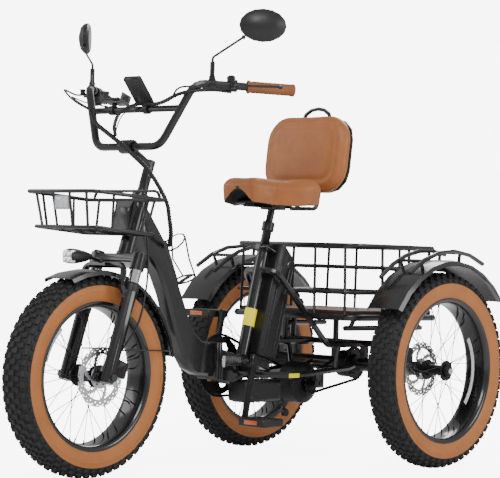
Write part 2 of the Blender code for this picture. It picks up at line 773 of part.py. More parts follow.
def make_front_frame():
    owner = body("front_frame", Vector((fold_pin_x, fold_plane, 0.307)))
    low_point = steer_point(0, 0, head_tube_bottom)
    high_point = steer_point(0, 0, head_tube_top)
    head = rod(low_point, high_point, head_tube_radius, 12)
    cups = [
        rod(steer_point(0, 0, head_tube_bottom - cup_height), steer_point(0, 0, head_tube_bottom + 0.002),
            head_tube_radius + 0.003, 12),
        rod(steer_point(0, 0, head_tube_top - 0.002), steer_point(0, 0, head_tube_top + cup_height),
            head_tube_radius + 0.003, 12),
    ]
    joint_low = steer_point(0, 0, head_tube_bottom + 0.006)
    joint_high = steer_point(0, 0, head_tube_top - 0.012)
    back = fold_plane - 0.004
    outline = [
        (joint_high.y, joint_high.z), (-0.268, 0.630), (-0.218, 0.523), (-0.175, 0.436),
        (-0.150, 0.392), (-0.116, 0.364), (back, 0.354),
        (back, 0.262), (-0.125, 0.268), (-0.165, 0.287), (-0.200, 0.332), (-0.232, 0.400),
        (-0.268, 0.492), (-0.305, 0.560), (-0.345, 0.596), (joint_low.y, joint_low.z),
    ]
    tube_solid = side_plate(outline, frame_tube_half_width, 0.008)
    plate = box((-0.0385, fold_plane - 0.0105, 0.254), (0.042, fold_plane - fit_gap, 0.360), 0.0015)
    knuckles = fold_knuckles(outer_levels, fold_plane - 0.0090, fold_plane - 0.0016)
    frame = fuse(head, *cups, tube_solid, plate, *knuckles)
    bore = rod(steer_point(0, 0, head_tube_bottom - 0.03), steer_point(0, 0, head_tube_top + 0.03),
               steerer_radius + bore_gap, 12)
    pin_hole = rod((fold_pin_x, fold_plane, 0.25), (fold_pin_x, fold_plane, 0.37), 0.0035 + bore_gap, 12)
    window = rod((fold_pin_x, fold_plane, inner_levels[0][0] - fit_gap),
                 (fold_pin_x, fold_plane, inner_levels[0][1] + fit_gap), 0.0097, 12)
    frame = cut(frame, bore, pin_hole, window)
    finish("front_frame", frame, black_paint(), owner)
    return owner


basket_top = 0.757
basket_floor = 0.664
basket_back = -0.412
basket_front = -0.655


def make_basket(owner):
    """A tapered wire basket with its bracket on the head tube."""
    def loop(half_back, half_front, back, front, z, tilt):
        return [Vector((half_back, back, z - tilt)), Vector((half_front, front, z + tilt)),
                Vector((-half_front, front, z + tilt)), Vector((-half_back, back, z - tilt))]

    top = loop(0.149, 0.134, basket_back, basket_front, basket_top, 0.007)
    low = loop(0.134, 0.122, basket_back - 0.020, basket_front + 0.018, basket_floor, 0.007)
    rails = [tube(rounded_path(ring, 0.016, True, 2), size, 6, True)
             for ring, size in ((top, basket_rail), (low, basket_rail * 0.9))]
    wires = []

    def wire(a, b, size=basket_wire):
        wires.append(rod(a, b, size, 4))

    for share in (0.14, 0.38, 0.62, 0.86):
        wire(top[1].lerp(top[2], share), low[1].lerp(low[2], share))
        wire(top[0].lerp(top[3], share), low[0].lerp(low[3], share))
    for share in (0.25, 0.75):
        wire(top[0].lerp(top[1], share), low[0].lerp(low[1], share))
        wire(top[3].lerp(top[2], share), low[3].lerp(low[2], share))
    for share in (0.20, 0.40, 0.60, 0.80):
        wire(low[0].lerp(low[3], share), low[1].lerp(low[2], share), basket_wire * 0.9)
    for share in (0.33, 0.67):
        wire(low[0].lerp(low[1], share), low[3].lerp(low[2], share), basket_wire * 0.8)
    arch = tube(rounded_path([
        Vector((0.128, basket_back, basket_top - 0.008)),
        Vector((0.120, basket_back, basket_top + 0.018)),
        Vector((-0.120, basket_back, basket_top + 0.018)),
        Vector((-0.128, basket_back, basket_top - 0.008)),
    ], 0.02, steps=2), basket_wire, 6)
    mount_z = (basket_top + basket_floor) / 2
    axis_point = steer_point(0, 0, head_tube_bottom + 0.105)
    lean = math.atan2(0.020, basket_top - basket_floor)
    plate = placed(box((-0.030, -0.003, -0.050), (0.030, 0.003, 0.047)),
                   Matrix.Translation((0, basket_back - 0.010, mount_z - 0.007)) @ Matrix.Rotation(-lean, 4, "X"))
    holder = box((-0.018, basket_back - 0.012, mount_z - 0.020),
                 (0.018, axis_point.y - head_tube_radius + 0.014, mount_z + 0.020), 0.001)
    basket = fuse(rails[0], rails[1], arch, *wires, plate, holder)
    clear = rod(steer_point(0, 0, head_tube_bottom - 0.04), steer_point(0, 0, head_tube_top + 0.04),
                head_tube_radius + 0.0008, 12)
    finish("front_basket", cut(basket, clear), black_paint(), owner)


def make_bottle_cage(owner):
    """A ring cage on the rear face of the down tube."""
    foot = Vector((0, -0.2311, 0.5750))
    along = Vector((0, -0.4225, 0.9063))
    out = Vector((0, 0.9063, 0.4225))
    matrix = frame_matrix(foot, along, out)
    plate = box((-0.008, 0.0, -0.060), (0.008, 0.004, 0.075), 0.001)
    base = tube([(0.031 * math.cos(a), 0.036 + 0.031 * math.sin(a), -0.058)
                 for a in (math.pi * k / 5 for k in range(10))], 0.0028, 4, True)
    ring = tube([(0.033 * math.cos(a), 0.037 + 0.033 * math.sin(a), 0.055 + 0.012 * math.sin(a))
                 for a in (math.pi * k / 5 for k in range(10))], 0.0028, 4, True)
    wires = [tube([(s * 0.024, 0.056, -0.058), (s * 0.032, 0.044, 0.0), (s * 0.026, 0.058, 0.063)], 0.0026, 6)
             for s in (1, -1)]
    shelf = box((-0.006, 0.002, -0.0605), (0.006, 0.069, -0.0560))
    cage = fuse(plate, base, ring, *wires, shelf)
    finish("bottle_cage", placed(cage, matrix), black_plastic(), owner)


# ---- rear frame ---------------------------------------------------------------
seat_tube_top = 0.345
stay_level = 0.3520
stay_x = 0.100
lower_stay_x = 0.085
beam_low = rear_axle.z + 0.056
beam_front = rear_axle.y - 0.011


def make_rear_frame():
    plate = box((-0.0385, fold_plane + fit_gap, 0.254), (0.042, fold_plane + 0.0105, 0.360), 0.0015)
    knuckles = fold_knuckles(inner_levels, fold_plane + 0.0090, fold_plane + 0.0016)
    pin = rod((fold_pin_x, fold_plane, 0.258), (fold_pin_x, fold_plane, 0.356), 0.0035, 12)
    back = fold_plane + 0.004
    bb = bottom_bracket
    outline = [
        (back, 0.354), (-0.020, 0.336), (0.030, 0.326), (0.085, 0.322),
        (0.092, 0.262), (0.052, 0.248), (0.010, 0.238), (-0.028, 0.245), (back, 0.262),
    ]
    main = side_plate(outline, frame_tube_half_width - 0.002, 0.007)
    seat_tube = rod(seat_point(0, 0, -0.030), seat_point(0, 0, seat_tube_top), seat_tube_radius, 12)
    collar = rod(seat_point(0, 0, seat_tube_top - 0.016), seat_point(0, 0, seat_tube_top + 0.004),
                 seat_tube_radius + 0.004, 12)
    clamp_bolt = rod(seat_point(-0.020, -0.022, seat_tube_top - 0.006),
                     seat_point(0.034, -0.022, seat_tube_top - 0.006), 0.0045, 8)
    clamp_ear = placed(box((-0.008, -0.028, seat_tube_top - 0.014), (0.008, -0.012, seat_tube_top + 0.002)),
                       seat_frame)
    lever = rod(seat_point(0.031, -0.024, seat_tube_top - 0.006), seat_point(0.036, 0.018, seat_tube_top - 0.012),
                0.0035, 8)
    shell = rod(bb - X * 0.036, bb + X * 0.036, 0.021, 12)
    dock = placed(box((-0.034, 0.012, -0.004), (0.034, 0.092, 0.0265), 0.002), seat_frame)
    pieces = [main, seat_tube, collar, clamp_bolt, clamp_ear, lever, shell, dock, *knuckles]
    for side in (1, -1):
        pieces.append(tube(rounded_path([
            (side * 0.006, 0.137, 0.572), (side * 0.062, 0.149, 0.566),
            (side * stay_x, 0.343, stay_level), (side * stay_x, beam_front - fit_gap, stay_level),
        ], 0.030, steps=2), stay_radius, 6))
        pieces.append(tube(rounded_path([
            (side * 0.012, 0.060, 0.264), (side * 0.030, 0.140, 0.262), (side * 0.055, 0.200, 0.263),
            (side * lower_stay_x, 0.262, 0.266), (side * lower_stay_x, 0.462, 0.280),
            (side * lower_stay_x, rear_axle.y - carrier_tube_radius - 0.010, rear_axle.z),
        ], 0.03, steps=1), stay_radius, 6))
        pieces.append(box((side * lower_stay_x - 0.004, motor_centre.y - 0.018, motor_centre.z - 0.012),
                          (side * lower_stay_x + 0.004, motor_centre.y + 0.018, 0.272), 0.001))
        pieces.append(rod((side * stay_x, 0.400, stay_level), (side * lower_stay_x, 0.400, 0.276), 0.007, 6))
    motor_axle = rod(motor_centre - X * (lower_stay_x + 0.010), motor_centre + X * (lower_stay_x + 0.010),
                     axle_radius + 0.001, 12)
    # a cross tube ties the lower stays together behind the motor
    cross = rod((-lower_stay_x, 0.440, 0.2785), (lower_stay_x, 0.440, 0.2785), 0.007, 6)
    frame = fuse(plate, *pieces, motor_axle, cross)
    post_bore = rod(seat_point(0, 0, 0.06), seat_point(0, 0, seat_tube_top + 0.03), seatpost_radius + bore_gap, 12)
    bb_bore = rod(bb - X * 0.05, bb + X * 0.05, 0.0125 + bore_gap, 12)
    pin_room = [rod((fold_pin_x, fold_plane, low - fit_gap), (fold_pin_x, fold_plane, high + fit_gap), 0.0097, 12)
                for low, high in outer_levels]
    frame = cut(frame, post_bore, bb_bore, *pin_room)
    finish("rear_frame", fuse(frame, pin), black_paint())


def make_fold_latch():
    pivot = Vector((0.0505, fold_plane + 0.006, 0.307))
    owner = body("fold_latch", pivot)
    barrel = rod(pivot - Z * 0.016, pivot + Z * 0.016, 0.0062, 12)
    blade = box((0.0470, fold_plane + 0.004, 0.294), (0.0535, 0.018, 0.320), 0.002)
    toe = box((0.0470, fold_plane - 0.0015, 0.299), (0.0530, fold_plane + 0.006, 0.315), 0.001)
    finish("fold_latch", fuse(barrel, blade, toe), steel(), owner)


def make_battery():
    dock_top = 0.0265 + fit_gap
    owner = body("battery", seat_point(0, 0.06, dock_top))
    half = battery_size.x / 2
    near = seat_tube_radius + 0.0055
    outline = [(near, dock_top), (near + battery_size.y, dock_top), (near + battery_size.y, dock_top + 0.29),
               (near + battery_size.y * 0.90, dock_top + 0.312), (near + battery_size.y * 0.4, dock_top + battery_size.z),
               (near, dock_top + battery_size.z)]
    matrix = seat_frame @ Matrix((Y, Z, X)).transposed().to_4x4()
    case = slab(outline, half * 2, matrix, 0.006)
    lock = rod(seat_point(half - 0.004, near + 0.060, dock_top + 0.285),
               seat_point(half + 0.003, near + 0.060, dock_top + 0.285), 0.010, 12)
    finish("battery", fuse(case, lock), black_plastic(), owner)


def make_controller():
    case = box((-0.036, 0.058, 0.186), (0.040, 0.214, 0.2470), 0.005)
    lid = box((0.036, 0.070, 0.192), (0.0435, 0.202, 0.240), 0.001)
    fins = [box((-0.028, 0.072 + k * 0.024, 0.1825), (0.032, 0.078 + k * 0.024, 0.188)) for k in range(6)]
    finish("controller_box", fuse(case, lid, *fins), black_plastic())


# ---- drive ------------------------------------------------------------------------
def pitch_radius(teeth):
    return teeth * chain_pitch / (2 * math.pi)


def belt_path(centre_a, radius_a, centre_b, radius_b, steps=9):
    """A loop round two circles in the YZ plane."""
    gap = centre_b - centre_a
    reach = math.hypot(gap.y, gap.z)
    heading = math.atan2(gap.z, gap.y)
    spread = math.acos((radius_a - radius_b) / reach)
    path = []
    for centre, radius, first, last in (
            (centre_a, radius_a, heading + spread, heading + 2 * math.pi - spread),
            (centre_b, radius_b, heading - spread, heading + spread)):
        outside = radius / math.cos((last - first) / steps / 2)
        for k in range(steps + 1):
            angle = first + (last - first) * k / steps
            reach = outside if 0 < k < steps else radius
            path.append(centre + Vector((0, math.cos(angle), math.sin(angle))) * reach)
    return path


primary_x = -0.0535
drive_x = 0.0570
tooth_clear = chain_radius + 0.0006
differential_left = drive_x + 0.022
differential_right = 0.004


def make_crankset():
    owner = body("crankset", bottom_bracket)
    bb = bottom_bracket
    spindle = rod(bb - X * 0.080, bb + X * 0.082, 0.0125, 12)
    ring = rod(bb + X * (primary_x - 0.0016), bb + X * (primary_x + 0.0016),
               pitch_radius(chainring_teeth) - tooth_clear, 24)
    boss = rod(bb + X * (primary_x - 0.014), bb + X * (primary_x + 0.012), 0.0185, 12)
    pieces = [ring, boss]
    pedals = []
    for side, word in ((1, "left"), (-1, "right")):
        turn = Vector((0, -math.sin(crank_angle), -math.cos(crank_angle))) * side
        inner, outer = side * 0.070, side * 0.082
        arm_matrix = frame_matrix(bb, -turn, X.cross(turn) * -1)
        arm = box((min(inner, outer), -0.011, -crank_length - 0.012), (max(inner, outer), 0.011, 0.018), 0.003)
        pieces.append(placed(arm, arm_matrix))
        end = bb + turn * crank_length
        pieces.append(rod(end + X * side * 0.076, end + X * side * 0.186, 0.0045, 10))
        pedals.append((side, word, end))
    ring_holes = []
    for k in range(5):
        angle = 2 * math.pi * k / 5
        spot = bb + Vector((primary_x, math.cos(angle) * 0.050, math.sin(angle) * 0.050))
        ring_holes.append(rod(spot - X * 0.0065, spot + X * 0.0065, 0.019, 6))
    ring = cut(pieces[0], *ring_holes)
    finish("crankset", fuse(spindle, ring, *pieces[1:]), black_paint(), owner)
    for side, word, end in pedals:
        pedal_body = body("pedal_" + word, end)
        near = 0.090
        low = Vector((near, -pedal_size.y / 2, -pedal_size.z / 2))
        high = Vector((near + pedal_size.x, pedal_size.y / 2, pedal_size.z / 2))
        if side < 0:
            low.x, high.x = -high.x, -low.x
        pedal = box(end + low, end + high, 0.003)
        bore = rod(end, end + X * side * 0.1865, 0.0045 + bore_gap, 10)
        middle = near + pedal_size.x / 2
        windows = [box(end + Vector((side * middle - 0.034, y - 0.013, -0.02)),
                       end + Vector((side * middle + 0.034, y + 0.013, 0.02))) for y in (-0.0235, 0.0235)]
        finish("pedal_" + word, cut(pedal, bore, *windows), black_plastic(), pedal_body)


def make_motor():
    owner = body("motor", motor_centre)
    c = motor_centre
    shell = turned([(0, 0.044), (0.040, 0.044), (motor_radius, 0.027), (motor_radius, -0.027),
                    (0.040, -0.044), (0, -0.044)], c, steps=18)
    cassette = rod(c + X * (primary_x - 0.0022), c + X * (primary_x + 0.0022),
                   pitch_radius(cassette_teeth) - tooth_clear, 12)
    big_cog = rod(c - X * 0.0490, c - X * 0.0460, pitch_radius(cassette_teeth) + 0.004, 14)
    core = rod(c - X * 0.062, c - X * 0.040, 0.0170, 12)
    out_cog = rod(c + X * (drive_x - 0.0016), c + X * (drive_x + 0.0016), pitch_radius(motor_teeth) - tooth_clear, 12)
    out_core = rod(c + X * 0.040, c + X * (drive_x + 0.004), 0.0150, 12)
    motor = fuse(shell, cassette, big_cog, core, out_cog, out_core)
    bore = rod(c - X * 0.09, c + X * 0.09, axle_radius + 0.001 + bore_gap, 12)
    finish("motor", cut(motor, bore), material("motor_grey", (0.08, 0.08, 0.085), 0.35, 0.8), owner)


def make_chains():
    crank = Vector((primary_x, bottom_bracket.y, bottom_bracket.z))
    hub = Vector((primary_x, motor_centre.y, motor_centre.z))
    path = belt_path(crank, pitch_radius(chainring_teeth), hub, pitch_radius(cassette_teeth))
    finish("primary_chain", tube(path, chain_radius, 6, True), steel())
    hub = Vector((drive_x, motor_centre.y, motor_centre.z))
    axle = Vector((drive_x, rear_axle.y, rear_axle.z))
    path = belt_path(axle, pitch_radius(axle_teeth), hub, pitch_radius(motor_teeth))
    finish("drive_chain", tube(path, chain_radius, 6, True), steel())


def make_derailleur():
    """A sprung arm that hangs from the motor's dropout, outside the chain."""
    hanger = Vector((-0.0720, motor_centre.y + 0.006, motor_centre.z - 0.0125))
    block = box(hanger + Vector((-0.0085, -0.010, -0.022)), hanger + Vector((0.0060, 0.012, -0.0005)), 0.002)
    low = hanger + Vector((0, 0.020, -0.072))
    arm = rod(hanger + Vector((0, 0, -0.014)), low, 0.0045, 8)
    wheels = [rod(low + X * 0.004 + Vector((0, dy, dz)), low - X * 0.006 + Vector((0, dy, dz)), 0.0125, 12)
              for dy, dz in ((-0.004, 0.014), (0.006, -0.014))]
    cage = rod(low + Vector((-0.001, -0.004, 0.014)), low + Vector((-0.001, 0.006, -0.014)), 0.0040, 8)
    finish("derailleur", fuse(block, arm, cage, *wheels), black_paint())


def make_differential():
    owner = body("differential", rear_axle)
    left, right = differential_left, differential_right
    case = turned([(0, left - 0.008), (0.026, left - 0.008), (0.030, drive_x + 0.006), (0.030, drive_x - 0.012),
                   (0.041, drive_x - 0.018), (0.041, 0.012), (0.030, right), (0, right)],
                  rear_axle, steps=16)
    sprocket = rod(rear_axle + X * (drive_x - 0.0016), rear_axle + X * (drive_x + 0.0016),
                   pitch_radius(axle_teeth) - tooth_clear, 20)
    bolts = []
    for k in range(3):
        angle = 2 * math.pi * k / 3
        spot = rear_axle + Vector((drive_x - 0.006, math.cos(angle) * 0.0345, math.sin(angle) * 0.0345))
        bolts.append(rod(spot - X * 0.015, spot + X * 0.010, 0.0028, 6))
    finish("differential", fuse(case, sprocket, *bolts), steel(), owner)


def make_axle_carrier():
    """Two bearing tubes hung from a cross beam, with the rear brake calipers."""
    left_start = differential_left + 0.004
    right_start = differential_right - 0.006
    y, z = rear_axle.y, rear_axle.z
    beam = box((-0.262, beam_front, beam_low), (0.262, y + 0.011, beam_low + 0.018), 0.002)
    pieces = [
        rod((left_start, y, z), (carrier_tube_end, y, z), carrier_tube_radius, 12),
        rod((right_start, y, z), (-carrier_tube_end, y, z), carrier_tube_radius, 12),
    ]
    for x in (left_start + 0.014, right_start - 0.014, 0.245, -0.245):
        pieces.append(box((x - 0.009, y - 0.010, z), (x + 0.009, y + 0.010, beam_low + 0.004)))
    shafts = rod((-0.4, y, z), (0.4, y, z), half_shaft_radius + bore_gap, 12)
    carrier = cut(fuse(beam, *pieces), shafts)
    calipers = []
    for side in (1, -1):
        middle = side * rear_rotor_x
        pad = box((middle - 0.0085, y - 0.091, z + 0.020), (middle + 0.0085, y - 0.050, z + 0.064), 0.002)
        slot = box((middle - 0.0022, y - 0.0825, z - 0.02), (middle + 0.0022, y - 0.02, z + 0.09))
        pad = cut(pad, slot)
        inward = middle - side * 0.0072
        calipers.append(pad)
        calipers.append(rod((inward, y - 0.066, z + 0.040), (side * (carrier_tube_end - 0.012), y - 0.052, z + 0.034),
                            0.0045, 6))
        calipers.append(rod((side * (carrier_tube_end - 0.012), y - 0.056, z + 0.036),
                            (side * (carrier_tube_end - 0.014), y - 0.006, z + 0.012), 0.0065, 8))
    finish("axle_carrier", fuse(carrier, *calipers), black_paint())


# ---- rack and rear fenders ------------------------------------------------------
def make_rack():
    """A rail box over the axle, its floor frame and its legs."""
    back = rack_front + rack_length

    def loop(half, z, grow=0.0):
        return [Vector((half, rack_front - grow, z)), Vector((half, back + grow, z)),
                Vector((-half, back + grow, z)), Vector((-half, rack_front - grow, z))]

    inset = 0.007
    solids = [
        tube(rounded_path(loop(rack_half_width - inset, rack_top), 0.035, True, 2), 0.0075, 6, True),
        tube(rounded_path(loop(rack_half_width - 0.004, 0.585), 0.030, True, 2), 0.0045, 4, True),
        tube(rounded_path(loop(rack_half_width - 0.002, 0.510), 0.030, True, 2), 0.0045, 4, True),
        tube(rounded_path(loop(rack_half_width, rack_floor), 0.030, True, 2), 0.0095, 6, True),
    ]
    posts = []

    def post(x, y):
        lean = (rack_half_width - inset) / rack_half_width
        posts.append(rod((x, y, rack_floor), (x * lean, y, rack_top), 0.0048, 4))

    for x in (-0.205, -0.088, 0.088, 0.205):
        post(x, rack_front)
        post(x, back)
    for y in (rack_front + 0.14, rack_front + 0.27):
        post(rack_half_width, y)
        post(-rack_half_width, y)
    floor_bars = [rod((-rack_half_width, y, rack_floor), (rack_half_width, y, rack_floor), 0.0085, 6)
                  for y in (rack_front + 0.09, rear_axle.y, back - 0.09)]
    legs = []
    for side in (1, -1):
        x = side * 0.190
        legs.append(rod((x, rear_axle.y, beam_low + 0.018 + fit_gap), (x, rear_axle.y, rack_floor), 0.009, 6))
        x = side * stay_x
        legs.append(rod((x, rack_front + 0.09, stay_level + stay_radius + 0.0012),
                        (x, rack_front + 0.09, rack_floor), 0.008, 6))
        rail_z = rack_floor - 0.032
        x = side * 0.190
        legs.append(rod((x, rack_front + 0.020, rail_z), (x, back - 0.020, rail_z), 0.007, 6))
        for y in (rack_front + 0.045, back - 0.045):
            legs.append(rod((x, y, rail_z), (side * 0.206, y, rack_floor), 0.006, 6))
            legs.append(rod((side * 0.200, y, rack_floor), (side * rack_half_width, y, rack_floor), 0.006, 6))
    finish("rack_frame", fuse(solids[0], *solids[1:], *posts, *floor_bars, *legs), black_paint())

    board = box((-rack_half_width + 0.013, rack_front + 0.013, rack_floor + 0.0095 + fit_gap),
                (rack_half_width - 0.013, back - 0.013, rack_floor + 0.020), 0.001)
    finish("rack_deck", board, wood())


def make_rear_fender(side, word):
    centre = rear_axle + X * side * wheel_x
    reach = rear_tyre_radius + rear_fender_gap
    half = rear_fender_width / 2
    profile = [(-half, reach - 0.014), (-half + 0.006, reach - 0.003), (-half * 0.45, reach),
               (half * 0.45, reach), (half - 0.006, reach - 0.003), (half, reach - 0.014)]
    fender = arched_sheet(profile, centre, math.radians(56), math.radians(107), sheet_thickness, 9)

    def over(angle_degrees, radius, x):
        angle = math.radians(angle_degrees)
        return centre + Vector((x, -math.sin(angle) * radius, math.cos(angle) * radius))

    guard_radius = reach + 0.027
    pieces = []
    for x, first, last in ((0.046, 36, -26), (-0.044, 40, -14)):
        path = [over(first + (last - first) * k / 5, guard_radius, side * x) for k in range(6)]
        pieces.append(tube(path, 0.0065, 6))
    for angle in (24, -8):
        for x in (0.036, -0.036):
            pieces.append(rod(over(angle, reach - 0.001, side * x), over(angle, guard_radius - 0.001, side * x), 0.005, 6))
        pieces.append(rod(over(angle, guard_radius - 0.001, 0.046), over(angle, guard_radius - 0.001, -0.046), 0.0055, 6))
    rack_side = rack_half_width - 0.004 + 0.0045 + fit_gap * 2
    for angle in (24, -24):
        spot = over(angle, reach - 0.006, -side * (half - 0.004))
        inner = Vector((side * rack_side, spot.y, 0.585))
        pieces.append(rod(spot, inner, 0.0045, 6))
    finish("rear_fender_" + word, fuse(fender, *pieces), black_plastic())


# ---- seat -------------------------------------------------------------------------
post_top = 0.420
head_bottom = post_top + seat_travel + 0.0085


def make_seat():
    post_body = body("seatpost", seat_point(0, 0, 0.20))
    tube_solid = rod(seat_point(0, 0, 0.16), seat_point(0, 0, post_top), seatpost_radius, 12)
    collar = rod(seat_point(0, 0, post_top - 0.026), seat_point(0, 0, post_top), 0.0185, 12)
    bore = rod(seat_point(0, 0, 0.285), seat_point(0, 0, post_top + 0.02), seat_rod_radius + bore_gap, 12)
    finish("seatpost", cut(fuse(tube_solid, collar), bore), black_paint(), post_body)

    head_body = body("seat_head", seat_point(0, 0, post_top))
    rod_solid = rod(seat_point(0, 0, 0.325), seat_point(0, 0, head_bottom + 0.008), seat_rod_radius, 12)
    top = seat_point(0, 0, head_bottom)
    block = box((-0.024, top.y - 0.026, top.z), (0.024, top.y + 0.040, top.z + 0.018), 0.003)
    pan = slab(seat_outline(0.014), 0.007, Matrix.Translation((0, 0, saddle_bottom - 0.0040)), 0.0)
    rails = [tube(rounded_path([
        (s * 0.020, 0.045, saddle_bottom - 0.0055), (s * 0.020, 0.085, top.z + 0.009),
        (s * 0.020, 0.238, top.z + 0.009), (s * 0.028, 0.260, saddle_bottom - 0.0055)], 0.02, steps=2), 0.0038, 6)
        for s in (1, -1)]
    finish("seat_head", fuse(rod_solid, block, pan, *rails), black_paint(), head_body)

    pad = slab(seat_outline(0.0), saddle_height, Matrix.Translation((0, 0, saddle_bottom + saddle_height / 2)), 0.012)
    finish("saddle", pad, tan_leather(), head_body)

    tilt = Matrix.Translation(backrest_centre) @ Matrix.Rotation(math.radians(-7), 4, "X")
    upright = tilt @ Matrix((X, Z, -Y)).transposed().to_4x4()
    cushion = slab(backrest_outline(0.0), 0.046, upright, 0.012)
    finish("backrest", cushion, tan_leather(), head_body)

    shell = slab(backrest_outline(0.006), 0.008, upright @ Matrix.Translation((0, 0, -0.0275)), 0.0)
    handle = tube([tilt @ Vector((0.052 * math.cos(a), 0.034, 0.112 + 0.034 * math.sin(a)))
                   for a in (math.pi * k / 6 for k in range(7))], 0.0062, 6)
    foot_level = saddle_bottom - 0.0105
    braces = [tube(rounded_path([
        (s * 0.036, 0.318, foot_level), (s * 0.036, 0.352, foot_level),
        tilt @ Vector((s * 0.040, 0.034, -0.085)), tilt @ Vector((s * 0.040, 0.034, 0.020))], 0.025, steps=2),
        0.0065, 6) for s in (1, -1)]
    tongue = box((-0.0145, 0.232, foot_level - 0.002), (0.0145, 0.330, foot_level + 0.002))
    cross = rod((-0.038, 0.322, foot_level), (0.038, 0.322, foot_level), 0.006, 8)
    bracket = fuse(shell, handle, *braces, tongue, cross)
    finish("backrest_bracket", bracket, black_paint(), head_body)


saddle_bottom = 0.766
saddle_height = 0.074
backrest_centre = Vector((0, 0.337, 0.920))


def seat_outline(inset):
    """Plan of the saddle: a blunt nose that widens to the hips."""
    half = [(0.040, 0.026), (0.066, 0.034), (0.078, 0.062), (0.090, 0.100), (0.118, 0.140), (0.142, 0.180),
            (0.149, 0.222), (0.138, 0.260), (0.105, 0.280), (0.050, 0.284)]
    centre = Vector((0, 0.16))
    right = [(-x, y) for x, y in reversed(half)]
    ring = [Vector(p) for p in half + right]
    return [p + (centre - p).normalized() * inset for p in ring]


def backrest_outline(inset):
    half_width, half_height, corner = 0.158 - inset, 0.119 - inset, 0.066
    points = [(half_width, -half_height), (half_width, half_height), (-half_width, half_height),
              (-half_width, -half_height)]
    ring = rounded_path([Vector((x, y, 0)) for x, y in points], corner, True, 3)
    return [(p.x, p.y) for p in ring]


# ---- cables -------------------------------------------------------------------------
def make_cables(owner):
    """The wrapped bundle from the bars to the down tube."""
    route = [
        steer_point(-0.150, -0.126, clamp_height + 0.110),
        steer_point(-0.110, -0.140, clamp_height + 0.060),
        steer_point(-0.030, -0.138, clamp_height + 0.016),
        steer_point(0.030, -0.118, clamp_height - 0.022),
        steer_point(0.052, -0.050, clamp_height - 0.060),
        steer_point(0.050, 0.016, clamp_height - 0.110),
        Vector((0.046, -0.322, 0.712)),
        Vector((0.040, -0.292, 0.668)),
        Vector((0.034, -0.275, 0.630)),
    ]
    path = smooth_route(route, 3)
    finish("cable_bundle", tube(path, 0.0058, 6), black_rubber(), owner)


def smooth_route(points, steps):
    """A Catmull-Rom curve through the points."""
    ends = [points[0] * 2 - points[1]] + list(points) + [points[-1] * 2 - points[-2]]
    path = []
    for i in range(1, len(ends) - 2):
        a, b, c, d = ends[i - 1:i + 3]
        for k in range(steps):
            t = k / steps
            path.append(0.5 * (2 * b + (c - a) * t + (2 * a - 5 * b + 4 * c - d) * t * t
                               + (3 * b - a - 3 * c + d) * t ** 3))
    path.append(points[-1])
    return path


# ---- the whole ------------------------------------------------------------------------
def main():
    clear_scene()
    make_rear_frame()
    make_front_wheel()
    make_rear_wheel(1, "left")
    make_rear_wheel(-1, "right")
    make_fork()
    steering = make_crown()
    cross_back, cross_up = make_bars(steering)
    for side, word in ((1, "left"), (-1, "right")):
        make_grip(side, word, steering)
        make_brake(side, word, steering)
        make_mirror(side, word, steering)
        make_rear_fender(side, word)
    make_throttle(steering)
    make_display(steering, cross_back, cross_up)
    make_headlight()
    front = make_front_frame()
    make_basket(front)
    make_bottle_cage(front)
    make_cables(steering)
    make_fold_latch()
    make_battery()
    make_controller()
    make_crankset()
    make_motor()
    make_chains()
    make_derailleur()
    make_differential()
    make_axle_carrier()
    make_rack()
    make_seat()


main()
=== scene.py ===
import json
import math
import bpy
import bmesh
from mathutils import Vector, Matrix


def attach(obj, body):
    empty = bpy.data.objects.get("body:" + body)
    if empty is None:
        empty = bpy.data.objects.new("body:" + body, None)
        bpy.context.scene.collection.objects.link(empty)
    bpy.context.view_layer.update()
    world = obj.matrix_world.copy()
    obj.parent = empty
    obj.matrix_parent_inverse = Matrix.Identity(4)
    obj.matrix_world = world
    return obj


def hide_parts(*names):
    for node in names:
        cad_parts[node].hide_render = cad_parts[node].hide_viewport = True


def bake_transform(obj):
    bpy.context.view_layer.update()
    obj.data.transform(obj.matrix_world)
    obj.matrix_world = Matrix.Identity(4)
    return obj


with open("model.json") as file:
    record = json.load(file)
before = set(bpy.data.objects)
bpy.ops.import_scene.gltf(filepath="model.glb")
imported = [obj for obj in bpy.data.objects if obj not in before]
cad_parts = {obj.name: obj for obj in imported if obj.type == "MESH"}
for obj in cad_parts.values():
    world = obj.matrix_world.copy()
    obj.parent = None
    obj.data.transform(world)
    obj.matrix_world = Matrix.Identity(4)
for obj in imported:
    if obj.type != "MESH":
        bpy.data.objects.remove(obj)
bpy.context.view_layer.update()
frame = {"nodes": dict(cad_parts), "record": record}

record = frame["record"]
joints = {j["name"]: j for j in record["behaviour"]["joints"]}
bodyOf = {n: b for b, members in record["behaviour"]["bodies"].items() for n in members}
slotOf = {s["node"]: s["material_slot"] for s in record["subparts"]}
scene = bpy.context.scene
X, Y, Z = Vector((1, 0, 0)), Vector((0, 1, 0)), Vector((0, 0, 1))


def pivot(joint):
    return Vector(joints[joint]["pos_m"])


# camera
cameraView = dict(turn=0.7296, rise=-0.0094, roll=-0.0309, distance=5.6152, lens=140.47,
                  target=(0.0525, 0.038, 0.6575))


def addCamera(v):
    back = Vector((math.sin(v["turn"]) * math.cos(v["rise"]), -math.cos(v["turn"]) * math.cos(v["rise"]),
                   math.sin(v["rise"])))
    right = Vector((math.cos(v["turn"]), math.sin(v["turn"]), 0))
    up = back.cross(right)
    s, c = math.sin(v["roll"]), math.cos(v["roll"])
    place = Matrix((right * c - up * s, right * s + up * c, back)).transposed().to_4x4()
    place.translation = Vector(v["target"]) + back * v["distance"]
    camera = bpy.data.objects.new("camera", bpy.data.cameras.new("camera"))
    camera.data.lens = v["lens"]
    camera.data.sensor_width = 36
    camera.data.clip_end = 60
    camera.matrix_world = place
    scene.collection.objects.link(camera)
    scene.camera = camera


addCamera(cameraView)
print("camera placed")

